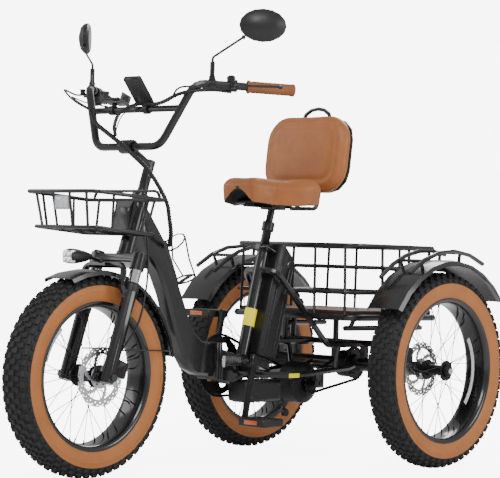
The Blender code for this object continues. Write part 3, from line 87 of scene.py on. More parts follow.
# directions shared by the moving groups
steerUp = Vector(joints["steer"]["axis"]).normalized()
steerBack = Vector((0, steerUp.z, -steerUp.y))
steerFoot = pivot("steer")
seatUp = Vector(joints["seatpost_slide"]["axis"]).normalized()
seatBack = Vector((0, seatUp.z, -seatUp.y))
seatFoot = Vector((0, 0.073, 0.303))
axles = {"front": pivot("front_wheel_spin"), "left": pivot("rear_wheel_left_spin"),
         "right": pivot("rear_wheel_right_spin")}


def steerPoint(x, back, up):
    return steerFoot + X * x + steerBack * back + steerUp * up


def seatPoint(x, back, up):
    return seatFoot + X * x + seatBack * back + seatUp * up


def around(centre, angle, radius, x=0.0):
    return centre + Vector((x, math.cos(angle) * radius, math.sin(angle) * radius))


# shader groups: two tones and two gloss limits go in, a colour, a roughness and a height come out
def feed(tree, socket, value):
    if isinstance(value, (int, float)):
        socket.default_value = value
    else:
        tree.links.new(value, socket)


def noiseNode(tree, coords, scale, detail=4.0, roughness=0.55):
    node = tree.nodes.new("ShaderNodeTexNoise")
    for label, value in (("Vector", coords), ("Scale", scale), ("Detail", detail), ("Roughness", roughness)):
        feed(tree, node.inputs[label], value)
    return node.outputs["Fac"]


def mathNode(tree, operation, a, b):
    node = tree.nodes.new("ShaderNodeMath")
    node.operation = operation
    feed(tree, node.inputs[0], a)
    feed(tree, node.inputs[1], b)
    return node.outputs[0]


def rangeNode(tree, value, low, high, fromLow=0.3, fromHigh=0.7):
    node = tree.nodes.new("ShaderNodeMapRange")
    for label, given in (("Value", value), ("From Min", fromLow), ("From Max", fromHigh), ("To Min", low),
                         ("To Max", high)):
        feed(tree, node.inputs[label], given)
    return node.outputs[0]


def mixColour(tree, share, a, b):
    node = tree.nodes.new("ShaderNodeMix")
    node.data_type = "RGBA"
    for index, value in ((0, share), (6, a), (7, b)):
        feed(tree, node.inputs[index], value)
    return node.outputs[2]


def mottle(tree, coords, given):
    # cloudy change of tone and gloss with a fine surface on top
    cloud = noiseNode(tree, coords, given["Cloud Scale"])
    fine = noiseNode(tree, coords, given["Fine Scale"], 3.0)
    smear = noiseNode(tree, coords, mathNode(tree, "MULTIPLY", given["Cloud Scale"], 3.7), 5.0)
    return (mixColour(tree, rangeNode(tree, cloud, 0.0, 1.0), given["Dark"], given["Light"]),
            rangeNode(tree, smear, given["Smooth"], given["Rough"]), fine)


def hide(tree, coords, given):
    # pebbled leather: small closed cells with creases between them, the colour darkened in the creases as painted
    # shade
    cells = tree.nodes.new("ShaderNodeTexVoronoi")
    cells.feature = "DISTANCE_TO_EDGE"
    feed(tree, cells.inputs["Vector"], coords)
    feed(tree, cells.inputs["Scale"], given["Grain Scale"])
    gap = cells.outputs["Distance"]
    cloud = noiseNode(tree, coords, 16.0, 5.0)
    fold = noiseNode(tree, coords, 60.0, 6.0)
    tone = mixColour(tree, rangeNode(tree, cloud, 0.0, 1.0, 0.32, 0.68), given["Dark"], given["Light"])
    pebble = rangeNode(tree, gap, 0.0, 1.0, 0.0, 0.22)
    # painted shade: the colour goes to the dark tone in the creases between the cells
    return (mixColour(tree, rangeNode(tree, gap, 0.0, 1.0, 0.0, 0.10), given["Dark"], tone),
            rangeNode(tree, fold, given["Smooth"], given["Rough"]),
            mathNode(tree, "ADD", pebble, mathNode(tree, "MULTIPLY", fold, 0.6)))


def streak(tree, coords, given):
    # brushed or sawn surface: long thin lines along one direction
    stretch = tree.nodes.new("ShaderNodeVectorMath")
    stretch.operation = "MULTIPLY"
    feed(tree, stretch.inputs[0], coords)
    feed(tree, stretch.inputs[1], given["Stretch"])
    lines = noiseNode(tree, stretch.outputs[0], 1.0, 6.0, 0.65)
    return (mixColour(tree, rangeNode(tree, lines, 0.0, 1.0), given["Dark"], given["Light"]),
            rangeNode(tree, lines, given["Smooth"], given["Rough"]), lines)


def makeGroup(name, build, extra):
    tree = bpy.data.node_groups.new(name, "ShaderNodeTree")
    inputs = [("Light", "Color", (0.5, 0.5, 0.5, 1)), ("Dark", "Color", (0.4, 0.4, 0.4, 1)),
              ("Smooth", "Float", 0.3), ("Rough", "Float", 0.5)]
    for label, kind, value in inputs + extra:
        tree.interface.new_socket(label, in_out="INPUT", socket_type="NodeSocket" + kind).default_value = value
    for label, kind in (("Colour", "Color"), ("Roughness", "Float"), ("Height", "Float")):
        tree.interface.new_socket(label, in_out="OUTPUT", socket_type="NodeSocket" + kind)
    source, sink = tree.nodes.new("NodeGroupInput"), tree.nodes.new("NodeGroupOutput")
    coords = tree.nodes.new("ShaderNodeTexCoord").outputs["Object"]
    for socket, result in zip(sink.inputs, build(tree, coords, source.outputs)):
        feed(tree, socket, result)
    return tree


groups = {
    "mottle": makeGroup("mottle", mottle, [("Cloud Scale", "Float", 9.0), ("Fine Scale", "Float", 700.0)]),
    "hide": makeGroup("hide", hide, [("Grain Scale", "Float", 420.0)]),
    "streak": makeGroup("streak", streak, [("Stretch", "Vector", (40.0, 900.0, 900.0))]),
}
paint = {}


def newMaterial(name, group, light, dark, smooth, rough, bump=0.1, depth=0.0004, metallic=0.0, coat=0.0,
                edge=0.0, **more):
    made = bpy.data.materials.new(name)
    made.use_nodes = True
    tree = made.node_tree
    shader = tree.nodes["Principled BSDF"]
    effect = tree.nodes.new("ShaderNodeGroup")
    effect.node_tree = groups[group]
    effect.inputs["Light"].default_value = (*light, 1)
    effect.inputs["Dark"].default_value = (*dark, 1)
    effect.inputs["Smooth"].default_value = smooth
    effect.inputs["Rough"].default_value = rough
    for key, value in more.get("pattern", {}).items():
        effect.inputs[key].default_value = value
    relief = tree.nodes.new("ShaderNodeBump")
    relief.inputs["Strength"].default_value = bump
    relief.inputs["Distance"].default_value = depth
    tree.links.new(effect.outputs["Colour"], shader.inputs["Base Color"])
    tree.links.new(effect.outputs["Roughness"], shader.inputs["Roughness"])
    tree.links.new(effect.outputs["Height"], relief.inputs["Height"])
    tree.links.new(relief.outputs["Normal"], shader.inputs["Normal"])
    if edge:
        soften = tree.nodes.new("ShaderNodeBevel")
        soften.samples = 4
        soften.inputs["Radius"].default_value = edge
        tree.links.new(soften.outputs["Normal"], relief.inputs["Normal"])
    shader.inputs["Metallic"].default_value = metallic
    shader.inputs["Coat Weight"].default_value = coat
    shader.inputs["Coat Roughness"].default_value = 0.08
    for key, value in more.get("shader", {}).items():
        shader.inputs[key].default_value = value
    paint[name] = made


newMaterial("frameBlack", "mottle", (0.0085, 0.0085, 0.0095), (0.0060, 0.0060, 0.0066), 0.20, 0.27, 0.02,
            0.0002, coat=0.4, edge=0.0012, pattern={"Fine Scale": 420.0})
newMaterial("satinBlack", "mottle", (0.0100, 0.0100, 0.0110), (0.0070, 0.0070, 0.0078), 0.30, 0.42, 0.12,
            0.0003, coat=0.15, edge=0.0010, pattern={"Fine Scale": 900.0})
newMaterial("mouldedBlack", "mottle", (0.0120, 0.0120, 0.0130), (0.0080, 0.0080, 0.0088), 0.38, 0.52, 0.20,
            0.0003, edge=0.0012, pattern={"Fine Scale": 1300.0})
newMaterial("fenderBlack", "mottle", (0.0130, 0.0132, 0.0145), (0.0100, 0.0100, 0.0110), 0.24, 0.30, 0.02,
            0.0002, coat=0.35, pattern={"Fine Scale": 800.0})
newMaterial("motorBlack", "mottle", (0.0180, 0.0180, 0.0195), (0.0110, 0.0110, 0.0118), 0.30, 0.46, 0.15,
            0.0003, metallic=0.6, edge=0.0012, pattern={"Fine Scale": 900.0})
newMaterial("treadRubber", "mottle", (0.0165, 0.0165, 0.0180), (0.0090, 0.0090, 0.0098), 0.62, 0.80, 0.45,
            0.0006, pattern={"Fine Scale": 620.0, "Cloud Scale": 22.0})
newMaterial("sidewallTan", "mottle", (0.430, 0.150, 0.034), (0.370, 0.124, 0.027), 0.50, 0.66, 0.25, 0.0004,
            pattern={"Fine Scale": 520.0, "Cloud Scale": 14.0})
newMaterial("leatherTan", "hide", (0.420, 0.142, 0.036), (0.340, 0.108, 0.026), 0.36, 0.52, 0.16, 0.0005,
            pattern={"Grain Scale": 480.0}, shader={"Sheen Weight": 0.06, "Specular IOR Level": 0.45})
newMaterial("gripTan", "hide", (0.330, 0.112, 0.034), (0.220, 0.070, 0.020), 0.42, 0.60, 0.5, 0.0008,
            pattern={"Grain Scale": 330.0})
newMaterial("chrome", "streak", (0.80, 0.80, 0.82), (0.66, 0.66, 0.68), 0.06, 0.14, 0.02, 0.0002, metallic=1.0,
            pattern={"Stretch": (300.0, 300.0, 60.0)})
newMaterial("brushedSteel", "streak", (0.62, 0.62, 0.64), (0.42, 0.42, 0.44), 0.22, 0.38, 0.10, 0.0002,
            metallic=1.0, pattern={"Stretch": (500.0, 160.0, 160.0)})
newMaterial("darkSteel", "mottle", (0.150, 0.145, 0.140), (0.070, 0.068, 0.066), 0.30, 0.48, 0.15, 0.0002,
            metallic=0.9, edge=0.0006, pattern={"Fine Scale": 700.0, "Cloud Scale": 60.0})
newMaterial("blackSteel", "mottle", (0.0200, 0.0200, 0.0210), (0.0100, 0.0100, 0.0105), 0.28, 0.44, 0.1, 0.0002,
            metallic=0.5, edge=0.0006, pattern={"Fine Scale": 700.0})
newMaterial("plankBrown", "streak", (0.085, 0.030, 0.016), (0.045, 0.016, 0.009), 0.42, 0.62, 0.35, 0.0006,
            edge=0.0012, pattern={"Stretch": (9.0, 160.0, 160.0)})
newMaterial("cableBlack", "mottle", (0.0120, 0.0120, 0.0130), (0.0070, 0.0070, 0.0078), 0.38, 0.55, 0.2, 0.0003,
            pattern={"Fine Scale": 1500.0})
newMaterial("amberReflector", "hide", (0.80, 0.17, 0.02), (0.50, 0.08, 0.01), 0.10, 0.22, 0.6, 0.0010, coat=0.8,
            pattern={"Grain Scale": 260.0})
newMaterial("clearReflector", "hide", (0.82, 0.83, 0.85), (0.48, 0.50, 0.52), 0.08, 0.20, 0.6, 0.0010,
            metallic=0.35, coat=0.8, pattern={"Grain Scale": 260.0})
# painted light: the emission makes the yellow tape and label glow, though they are no lamps
newMaterial("safetyYellowPaintedGlow", "mottle", (0.80, 0.70, 0.0), (0.72, 0.61, 0.0), 0.30, 0.42, 0.1,
            shader={"Emission Color": (0.9, 0.80, 0.0, 1), "Emission Strength": 0.35})
newMaterial("paleGrey", "mottle", (0.52, 0.54, 0.57), (0.40, 0.42, 0.45), 0.35, 0.50, 0.1)
newMaterial("mirrorGlass", "mottle", (0.80, 0.84, 0.90), (0.76, 0.80, 0.86), 0.015, 0.03, 0.0, metallic=1.0)
newMaterial("screenBlue", "mottle", (0.020, 0.035, 0.070), (0.012, 0.022, 0.045), 0.06, 0.10, 0.0, coat=1.0)
newMaterial("lampChrome", "mottle", (0.92, 0.92, 0.93), (0.84, 0.84, 0.86), 0.05, 0.10, 0.0, metallic=1.0)
newMaterial("lampGlow", "mottle", (0.95, 0.95, 0.90), (0.90, 0.90, 0.84), 0.3, 0.4, 0.0,
            shader={"Emission Color": (1, 0.98, 0.92, 1), "Emission Strength": 0.6})
print("materials made")


# mesh helpers
def put(name, shape, materials, body, slotName, smooth=35, replaced=()):
    mesh = bpy.data.meshes.new(name)
    shape.to_mesh(mesh)
    shape.free()
    for m in materials:
        mesh.materials.append(paint[m])
    mesh.shade_smooth()
    mesh.set_sharp_from_angle(angle=math.radians(smooth))
    piece = bpy.data.objects.new(name, mesh)
    scene.collection.objects.link(piece)
    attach(piece, body)
    if replaced:
        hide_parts(*replaced)
    return piece


def joinInto(target, source, matrix=None, index=None):
    if matrix is not None:
        bmesh.ops.transform(source, matrix=matrix, verts=source.verts)
    if index is not None:
        for face in source.faces:
            face.material_index = index
    mesh = bpy.data.meshes.new("part")
    source.to_mesh(mesh)
    source.free()
    target.from_mesh(mesh)
    bpy.data.meshes.remove(mesh)


def spinShape(profile, centre, axis=X, steps=48, closed=False, sweep=2 * math.pi, start=None):
    # profile points are (distance along the axis, radius)
    bm = bmesh.new()
    out = start if start is not None else axis.orthogonal().normalized()
    verts = [bm.verts.new(centre + axis * a + out * r) for a, r in profile]
    edges = [bm.edges.new(pair) for pair in zip(verts, verts[1:])]
    if closed:
        edges.append(bm.edges.new((verts[-1], verts[0])))
    full = abs(sweep - 2 * math.pi) < 1e-6
    bmesh.ops.spin(bm, geom=verts + edges, cent=centre, axis=axis, angle=sweep, steps=steps, use_merge=full)
    bmesh.ops.remove_doubles(bm, verts=bm.verts, dist=1e-6)
    bmesh.ops.recalc_face_normals(bm, faces=bm.faces)
    return bm


def mirrored(half):
    return half + [(-a, r) for a, r in reversed(half[:-1])]


def rodShape(start, end, radius, steps=20, chamfer=0.0):
    along = end - start
    length = along.length
    profile = [(0, 0), (0, radius - chamfer), (chamfer, radius), (length - chamfer, radius),
               (length, radius - chamfer), (length, 0)]
    return spinShape(profile, start, along.normalized(), steps)


def boxShape(low, high, bevel=0.0):
    bm = bmesh.new()
    low, high = Vector(low), Vector(high)
    bmesh.ops.create_cube(bm, size=1.0)
    bmesh.ops.scale(bm, vec=high - low, verts=bm.verts)
    bmesh.ops.translate(bm, vec=(low + high) / 2, verts=bm.verts)
    if bevel:
        bmesh.ops.bevel(bm, geom=bm.edges[:], offset=bevel, segments=2, profile=0.5, affect="EDGES",
                        material=-1)
    return bm


def smoothPath(points, steps):
    points = [Vector(p) for p in points]
    ends = [points[0] * 2 - points[1]] + points + [points[-1] * 2 - points[-2]]
    path = []
    for i in range(1, len(ends) - 2):
        a, b, c, d = ends[i - 1:i + 3]
        for k in range(steps):
            t = k / steps
            path.append(0.5 * (2 * b + (c - a) * t + (2 * a - 5 * b + 4 * c - d) * t * t
                               + (3 * b - a - 3 * c + d) * t ** 3))
    return path + [points[-1]]


def pathLength(path):
    return sum((b - a).length for a, b in zip(path, path[1:]))


def tubeShape(paths, radius, sides=3):
    # round tubes along poly lines, with closed ends
    line = bpy.data.curves.new("line", "CURVE")
    line.dimensions = "3D"
    line.bevel_depth = radius
    line.bevel_resolution = sides
    line.use_fill_caps = True
    for path in paths:
        spline = line.splines.new("POLY")
        spline.points.add(len(path) - 1)
        for point, place in zip(spline.points, path):
            point.co = (*place, 1)
    holder = bpy.data.objects.new("line", line)
    scene.collection.objects.link(holder)
    bpy.context.view_layer.update()
    mesh = bpy.data.meshes.new_from_object(holder.evaluated_get(bpy.context.evaluated_depsgraph_get()))
    bm = bmesh.new()
    bm.from_mesh(mesh)
    bmesh.ops.remove_doubles(bm, verts=bm.verts, dist=1e-6)
    bpy.data.objects.remove(holder)
    bpy.data.meshes.remove(mesh)
    return bm


def refine(node, material, smooth=35, panel=None, swell=0.0):
    # the CAD shape with its triangles merged, smooth over its round sides
    bm = bmesh.new()
    bm.from_mesh(frame["nodes"][node].data)
    bmesh.ops.remove_doubles(bm, verts=bm.verts, dist=1e-5)
    if swell:
        bm.normal_update()
        for vertex, shift in [(v, v.normal * swell) for v in bm.verts]:
            vertex.co += shift
    bmesh.ops.dissolve_limit(bm, angle_limit=math.radians(0.8), verts=bm.verts, edges=bm.edges)
    if panel:
        face = max((f for f in bm.faces if f.normal.dot(panel["facing"]) > 0.6), key=lambda f: f.calc_area())
        bmesh.ops.inset_region(bm, faces=[face], thickness=panel["rim"], depth=-panel["depth"],
                               use_even_offset=True)
        face.material_index = 1
    first, *rest = node.split("_")
    materials = [material, panel["material"]] if panel else [material]
    put(first + "".join(word.title() for word in rest), bm, materials, bodyOf[node], slotOf[node], smooth, [node])


def extent(node):
    spots = [v.co for v in frame["nodes"][node].data.vertices]
    return [Vector([pick(p[k] for p in spots) for k in range(3)]) for pick in (min, max)]


def walk(path, distances):
    # the place and the heading at each distance along the path
    travelled, index = 0.0, 0
    for want in distances:
        while index < len(path) - 2 and travelled + (path[index + 1] - path[index]).length < want:
            travelled += (path[index + 1] - path[index]).length
            index += 1
        along = (path[index + 1] - path[index]).normalized()
        yield path[index] + along * (want - travelled), along


def spiralAround(path, radius, rise, perTurn=10):
    total = pathLength(path)
    steps = int(total / rise * perTurn)
    spots, side = [], None
    for k, (spot, along) in enumerate(walk(path, [total * n / steps for n in range(steps + 1)])):
        side = along.orthogonal() if side is None else side - along * side.dot(along)
        side.normalize()
        turn = 2 * math.pi * k / perTurn
        spots.append(spot + (side * math.cos(turn) + along.cross(side) * math.sin(turn)) * radius)
    return spots


# CAD shapes that only need their finish
panels = {
    "mirror_head_left": dict(facing=Y, rim=0.0035, depth=0.0008, material="mirrorGlass"),
    "mirror_head_right": dict(facing=Y, rim=0.0035, depth=0.0008, material="mirrorGlass"),
    "display": dict(facing=Vector((0, 0.77, 0.64)), rim=0.0050, depth=0.0006, material="screenBlue"),
}
# the plastic coat on the thin wires
wireSwell = {"front_basket": 0.0011, "rack_frame": 0.0010}
finishes = {
    "frameBlack": ["rear_frame", "front_frame", "fork_crown", "fork_lowers"],
    "fenderBlack": ["rear_fender_left", "rear_fender_right", "front_fender"],
    "mouldedBlack": ["controller_box", "bottle_cage", "brake_perch_left", "brake_perch_right", "display",
                     "phone_holder", "throttle", "shift_lever", "mirror_head_left", "mirror_head_right", "battery",
                     "pedal_left", "pedal_right", "headlight"],
    "blackSteel": ["derailleur", "front_caliper", "crankset", "differential"],
    "satinBlack": ["axle_carrier", "rack_frame", "front_basket", "handlebar", "stem", "mirror_stalk_left",
                   "mirror_stalk_right", "brake_lever_left", "brake_lever_right", "seatpost", "seat_head",
                   "backrest_bracket"],
    "darkSteel": ["phone_jaw"],
    "brushedSteel": ["fold_latch"],
    "motorBlack": ["motor"],
    "plankBrown": ["rack_deck"],
}
for finish, nodes in finishes.items():
    for node in nodes:
        refine(node, finish, 40, panels.get(node), wireSwell.get(node, 0.0))
# the seat pan stops behind the arch at the front of the saddle
panSizes = dict(bottom=0.7545, front=0.092, back=0.262, narrow=0.76, rise=0.005)
for vertex in bpy.data.objects["seatHead"].data.vertices:
    if vertex.co.z > panSizes["bottom"]:
        vertex.co.y = min(max(vertex.co.y, panSizes["front"]), panSizes["back"])
        vertex.co.x *= panSizes["narrow"]
        vertex.co.z += panSizes["rise"]
print("frame pieces finished")


# wheels
tyreSizes = dict(steps=144, pitches=58, middle=0.0394, tanTop=0.0076, knobHeight=0.0100, knobTaper=0.80)
rimSizes = dict(sidewall=0.0788, depth=0.0148, steps=128)
wheelKinds = {
    "front": dict(body="front_wheel", nodes="front_{}", word="front", radius=0.275, discX=0.0505),
    "left": dict(body="rear_wheel_left", nodes="rear_{}_left", word="rearLeft", radius=0.289, discX=-0.0585,
                 side=1, shaftEnd=0.080),
    "right": dict(body="rear_wheel_right", nodes="rear_{}_right", word="rearRight", radius=0.289, discX=0.0585,
                  side=-1, shaftEnd=-0.003),
}


def knobShape(width, length, height, taper):
    bm = bmesh.new()
    bmesh.ops.create_cube(bm, size=1.0)
    bmesh.ops.scale(bm, vec=(width, length, height), verts=bm.verts)
    top = [v for v in bm.verts if v.co.z > 0]
    bmesh.ops.scale(bm, vec=(taper, taper, 1), verts=top)
    bottom = [f for f in bm.faces if f.normal.z < -0.9]
    bmesh.ops.delete(bm, geom=bottom, context="FACES_ONLY")
    return bm


def makeTyre(kind):
    s, k = tyreSizes, wheelKinds[kind]
    centre = axles[kind]
    middle = k["radius"] - s["middle"]
    half = [(0.0375, -0.0394), (0.0410, -0.0360), (0.0445, -0.0290), (0.0466, -0.0200), (0.0476, -0.0100),
            (0.0476, -0.0085), (0.0480, -0.0075), (0.0480, -0.0055), (0.0475, -0.0045), (0.0472, 0.0030),
            (0.0468, s["tanTop"]), (0.0455, 0.0110), (0.0425, 0.0172), (0.0370, 0.0235), (0.0290, 0.0283),
            (0.0190, 0.0315), (0.0090, 0.0332), (0.0, 0.0335)]
    profile = mirrored([(x, middle + r) for x, r in half])
    bm = spinShape(profile, centre, X, s["steps"], start=Y)
    for face in bm.faces:
        mid = face.calc_center_median() - centre
        face.material_index = int(math.hypot(mid.y, mid.z) < middle + s["tanTop"] + 0.0004)
    # tread blocks: (across, half turn offset, width, length, lean, height), each with a row on the other side
    rows = [(0.0085, 0.0, 0.0125, 0.0175, 6, 0.0335), (0.0235, 0.5, 0.0105, 0.0160, 22, 0.0312),
            (0.0365, 0.0, 0.0100, 0.0190, 48, 0.0245), (0.0448, 0.5, 0.0085, 0.0125, 72, 0.0140)]
    pitch = 2 * math.pi / s["pitches"]
    template = bmesh.new()
    for across, offset, width, length, lean, rise in rows:
        for side, shift in ((1, offset), (-1, 0.5 - offset)):
            place = (Matrix.Rotation(shift * pitch, 4, "X") @ Matrix.Translation((side * across, 0, middle + rise))
                     @ Matrix.Rotation(math.radians(side * lean), 4, "Y"))
            joinInto(template, knobShape(width, length, s["knobHeight"], s["knobTaper"]), place)
    block = bpy.data.meshes.new("block")
    template.to_mesh(block)
    template.free()
    for step in range(s["pitches"]):
        turned = block.copy()
        turned.transform(Matrix.Translation(centre) @ Matrix.Rotation(step * pitch, 4, "X"))
        bm.from_mesh(turned)
        bpy.data.meshes.remove(turned)
    put(k["word"] + "Tyre", bm, ["treadRubber", "sidewallTan"], k["body"], "tyre_rubber", 40,
        [k["nodes"].format("tyre")])


def makeRim(kind):
    k = wheelKinds[kind]
    centre, edge = axles[kind], k["radius"] - rimSizes["sidewall"]
    outer = [(0.0370, 0.0010), (0.0385, 0.0045), (0.0405, 0.0052), (0.0420, 0.0040), (0.0422, -0.0030),
             (0.0385, -0.0080), (0.0300, -0.0120), (0.0230, -0.0135), (0.0185, -0.0142), (0.0, -rimSizes["depth"])]
    profile = mirrored([(x, edge + r) for x, r in outer])
    bm = spinShape(profile, centre, X, rimSizes["steps"], closed=True, start=Y)
    put(k["word"] + "Rim", bm, ["frameBlack"], k["body"], "black_paint", 40, [k["nodes"].format("rim")])


hubSizes = dict(spokes=18, lean=0.62, flange=0.0272, innerX=0.0312, outerX=0.0345, rimX=0.010, spoke=0.00105,
                nipple=0.0021, nippleLength=0.012)
# outside the shell: (from, to, radius, sides, chamfer, material)
frontCollars = [(0.045, 0.0575, 0.0150, 28, 0.001, 0), (-0.045, -0.0575, 0.0150, 28, 0.001, 0)]
rearCollars = [(-0.040, -0.0705, 0.0148, 28, 0.0, 0), (0.040, 0.0440, 0.0200, 28, 0.001, 0),
               (0.043, 0.0475, 0.0140, 28, 0.001, 0), (0.047, 0.0508, 0.0088, 6, 0.0012, 2)]


def makeHub(kind):
    k, h = wheelKinds[kind], hubSizes
    centre, edge = axles[kind], k["radius"] - rimSizes["sidewall"] - rimSizes["depth"]
    shell = [(-0.046, 0.0085), (-0.046, 0.0160), (-0.037, 0.0175), (-0.036, 0.0290), (-0.0345, 0.0300),
             (-0.0325, 0.0300), (-0.031, 0.0290), (-0.030, 0.0180), (-0.018, 0.0155), (0, 0.0150)]
    bm = spinShape(mirrored([(-0.046, 0)] + shell), centre, X, 40, start=Y)
    spokes = []
    for side in (1, -1):
        for n in range(h["spokes"]):
            base = 2 * math.pi * (n + (side + 1) / 4) / h["spokes"]
            lean = h["lean"] if n % 2 else -h["lean"]
            start = around(centre, base, h["flange"], side * (h["outerX"] if n % 2 else h["innerX"]))
            end = around(centre, base + lean, edge + 0.001, side * h["rimX"])
            spokes.append([start, end])
            nipple = end + (start - end).normalized() * h["nippleLength"]
            joinInto(bm, rodShape(end, nipple, h["nipple"], 8), index=1)
    joinInto(bm, tubeShape(spokes, h["spoke"], 1), index=1)
    collars, side = frontCollars, 1
    if kind != "front":
        side = k["side"]
        collars = rearCollars + [(-0.060, k["shaftEnd"] - abs(centre.x), 0.0089, 20, 0.0, 2)]
    for first, last, radius, sides, chamfer, index in collars:
        collar = rodShape(centre + X * (side * first), centre + X * (side * last), radius, sides, chamfer)
        joinInto(bm, collar, index=index)
    put(k["word"] + "Hub", bm, ["motorBlack", "blackSteel", "chrome"], k["body"], "steel", 40,
        [k["nodes"].format("hub")])


discSizes = dict(segments=144, thickness=0.0019, bolts=6, boltCircle=0.0225, bolt=0.0032, boltHalf=0.0022,
                 armFrom=0.032, armTo=0.061, bandFrom=0.064, notchFrom=0.0768, armPitch=24, armWidth=5, swirl=420)
discRings = [0.0155, 0.0215, 0.0275, 0.0320, 0.0380, 0.0440, 0.0500, 0.0560, 0.0610, 0.0640, 0.0672, 0.0704,
             0.0736, 0.0768, 0.0800]


def isOpen(radius, step, ring, d):
    # the swirled arms, two staggered rows of slots and the notched rim
    if d["armFrom"] < radius < d["armTo"]:
        return (step + int((radius - d["armFrom"]) * d["swirl"])) % d["armPitch"] > d["armWidth"]
    if radius > d["bandFrom"] and ring in (10, 12):
        return (step + (3 if ring == 12 else 0)) % 6 < 2
    return radius > d["notchFrom"] and step % 12 < 3


def makeRotor(kind):
    k, d = wheelKinds[kind], discSizes
    centre = axles[kind] + X * k["discX"]
    bm = spinShape([(0, r) for r in discRings], centre, X, d["segments"], start=Y)
    drop = []
    for face in bm.faces:
        mid = face.calc_center_median() - centre
        radius = math.hypot(mid.y, mid.z)
        step = int((math.atan2(mid.z, mid.y) + math.pi) / (2 * math.pi) * d["segments"])
        ring = max(n for n, r in enumerate(discRings) if r < radius + 1e-4)
        if isOpen(radius, step, ring, d):
            drop.append(face)
    bmesh.ops.delete(bm, geom=drop, context="FACES")
    bmesh.ops.solidify(bm, geom=bm.faces[:], thickness=d["thickness"])
    bmesh.ops.translate(bm, vec=X * (d["thickness"] / 2), verts=bm.verts)
    bmesh.ops.recalc_face_normals(bm, faces=bm.faces)
    for n in range(d["bolts"]):
        spot, half = around(centre, 2 * math.pi * n / d["bolts"], d["boltCircle"]), X * d["boltHalf"]
        joinInto(bm, rodShape(spot - half, spot + half, d["bolt"], 12, 0.0004), index=1)
    put(k["word"] + "Rotor", bm, ["brushedSteel", "darkSteel"], k["body"], "steel", 40,
        [k["nodes"].format("rotor")])


for kind in wheelKinds:
    makeTyre(kind)
    makeRim(kind)
    makeHub(kind)
    makeRotor(kind)

stripSizes = dict(width=0.013, x=0.0185, thickness=0.0015, steps=24)
stripPlaces = [("front", 149, 34, 0.166, 1), ("left", -2, 76, 0.150, 1), ("right", -2, 76, 0.150, -1)]


def makeStrip(kind, angle, sweep, radius, side, s):
    first = math.radians(angle - sweep / 2)
    near, far = side * s["x"], side * (s["x"] + s["thickness"])
    profile = [(near, radius), (near, radius + s["width"]), (far, radius + s["width"]), (far, radius)]
    strip = spinShape(profile, axles[kind], X, s["steps"], closed=True, sweep=math.radians(sweep),
                      start=Vector((0, math.cos(first), math.sin(first))))
    bmesh.ops.holes_fill(strip, edges=[e for e in strip.edges if e.is_boundary], sides=8)
    bmesh.ops.recalc_face_normals(strip, faces=strip.faces)
    put(wheelKinds[kind]["word"] + "SpokeReflector", strip, ["clearReflector"], wheelKinds[kind]["body"], "steel", 40)


for row in stripPlaces:
    makeStrip(*row, stripSizes)
print("wheels made")


# fork
forkSizes = dict(half=0.080, back=-0.0232, stanchion=0.01575, hidden=0.060, legTop=0.252, crownLow=0.302,
                 crownTop=0.3445)


def makeStanchion(side, word, f):
    x, back = side * f["half"], f["back"]
    low, high = steerPoint(x, back, f["legTop"] - f["hidden"]), steerPoint(x, back, f["crownLow"])
    put("stanchion" + word, rodShape(low, high, f["stanchion"], 36), ["chrome"], "steering", "steel")
    seal = spinShape([(-0.012, 0.0168), (-0.012, 0.0202), (0.000, 0.0208), (0.006, 0.0202), (0.010, 0.0178),
                      (0.012, 0.0168)], steerPoint(x, back, f["legTop"]), steerUp, 36, closed=True)
    put("wiperSeal" + word, seal, ["mouldedBlack"], "fork_lower", "black_plastic")
    cap = spinShape([(0, 0), (0, 0.0150), (0.004, 0.0160), (0.007, 0.0145), (0.008, 0)],
                    steerPoint(x, back, f["crownTop"]), steerUp, 28)
    put("forkCap" + word, cap, ["darkSteel"], "steering", "steel")


makeStanchion(1, "Left", forkSizes)
makeStanchion(-1, "Right", forkSizes)
print("fork made")

# handlebar
barShape = dict(high=Vector((0.205, -0.108, 0.804)), end=Vector((0.365, 0.100, 0.864)))
gripSizes = dict(first=0.1422, last=0.2722, radius=0.0158, rib=0.0007, ribs=19, bore=0.0113)


def onBar(side, distance, outward=0.0, up=0.0):
    along = (barShape["end"] - barShape["high"]).normalized()
    spot = barShape["high"] + along * distance + Vector((along.y, -along.x, 0)) * outward
    place = steerPoint(*spot) + Z * up
    return Vector((place.x * side, place.y, place.z))


def makeGrip(side, word, g):
    start, end = onBar(side, g["first"]), onBar(side, g["last"])
    length = g["last"] - g["first"]
    profile = [(0, g["bore"]), (0, 0.0180), (0.003, 0.0186), (0.006, 0.0180), (0.008, g["radius"])]
    profile += [(0.012 + k * 0.0056, g["radius"] + (g["rib"] if k % 2 else 0)) for k in range(g["ribs"])]
    profile += [(length - 0.006, 0.0168), (length - 0.002, 0.0172), (length, 0.0160), (length, g["bore"])]
    axis = (end - start).normalized()
    bm = spinShape(profile, start, axis, 40, closed=True)
    joinInto(bm, rodShape(end - axis * 0.004, end + axis * 0.0022, 0.0122, 28, 0.0008), index=1)
    node = "grip_" + word.lower()
    put("grip" + word, bm, ["gripTan", "mouldedBlack"], "steering", slotOf[node], 30, [node])


makeGrip(1, "Left", gripSizes)
makeGrip(-1, "Right", gripSizes)


lampSizes = dict(share=0.86, depth=0.0025, bevel=0.0022, bowlX=0.48, bowlZ=0.42, trim=1.02, trimDepth=0.016)


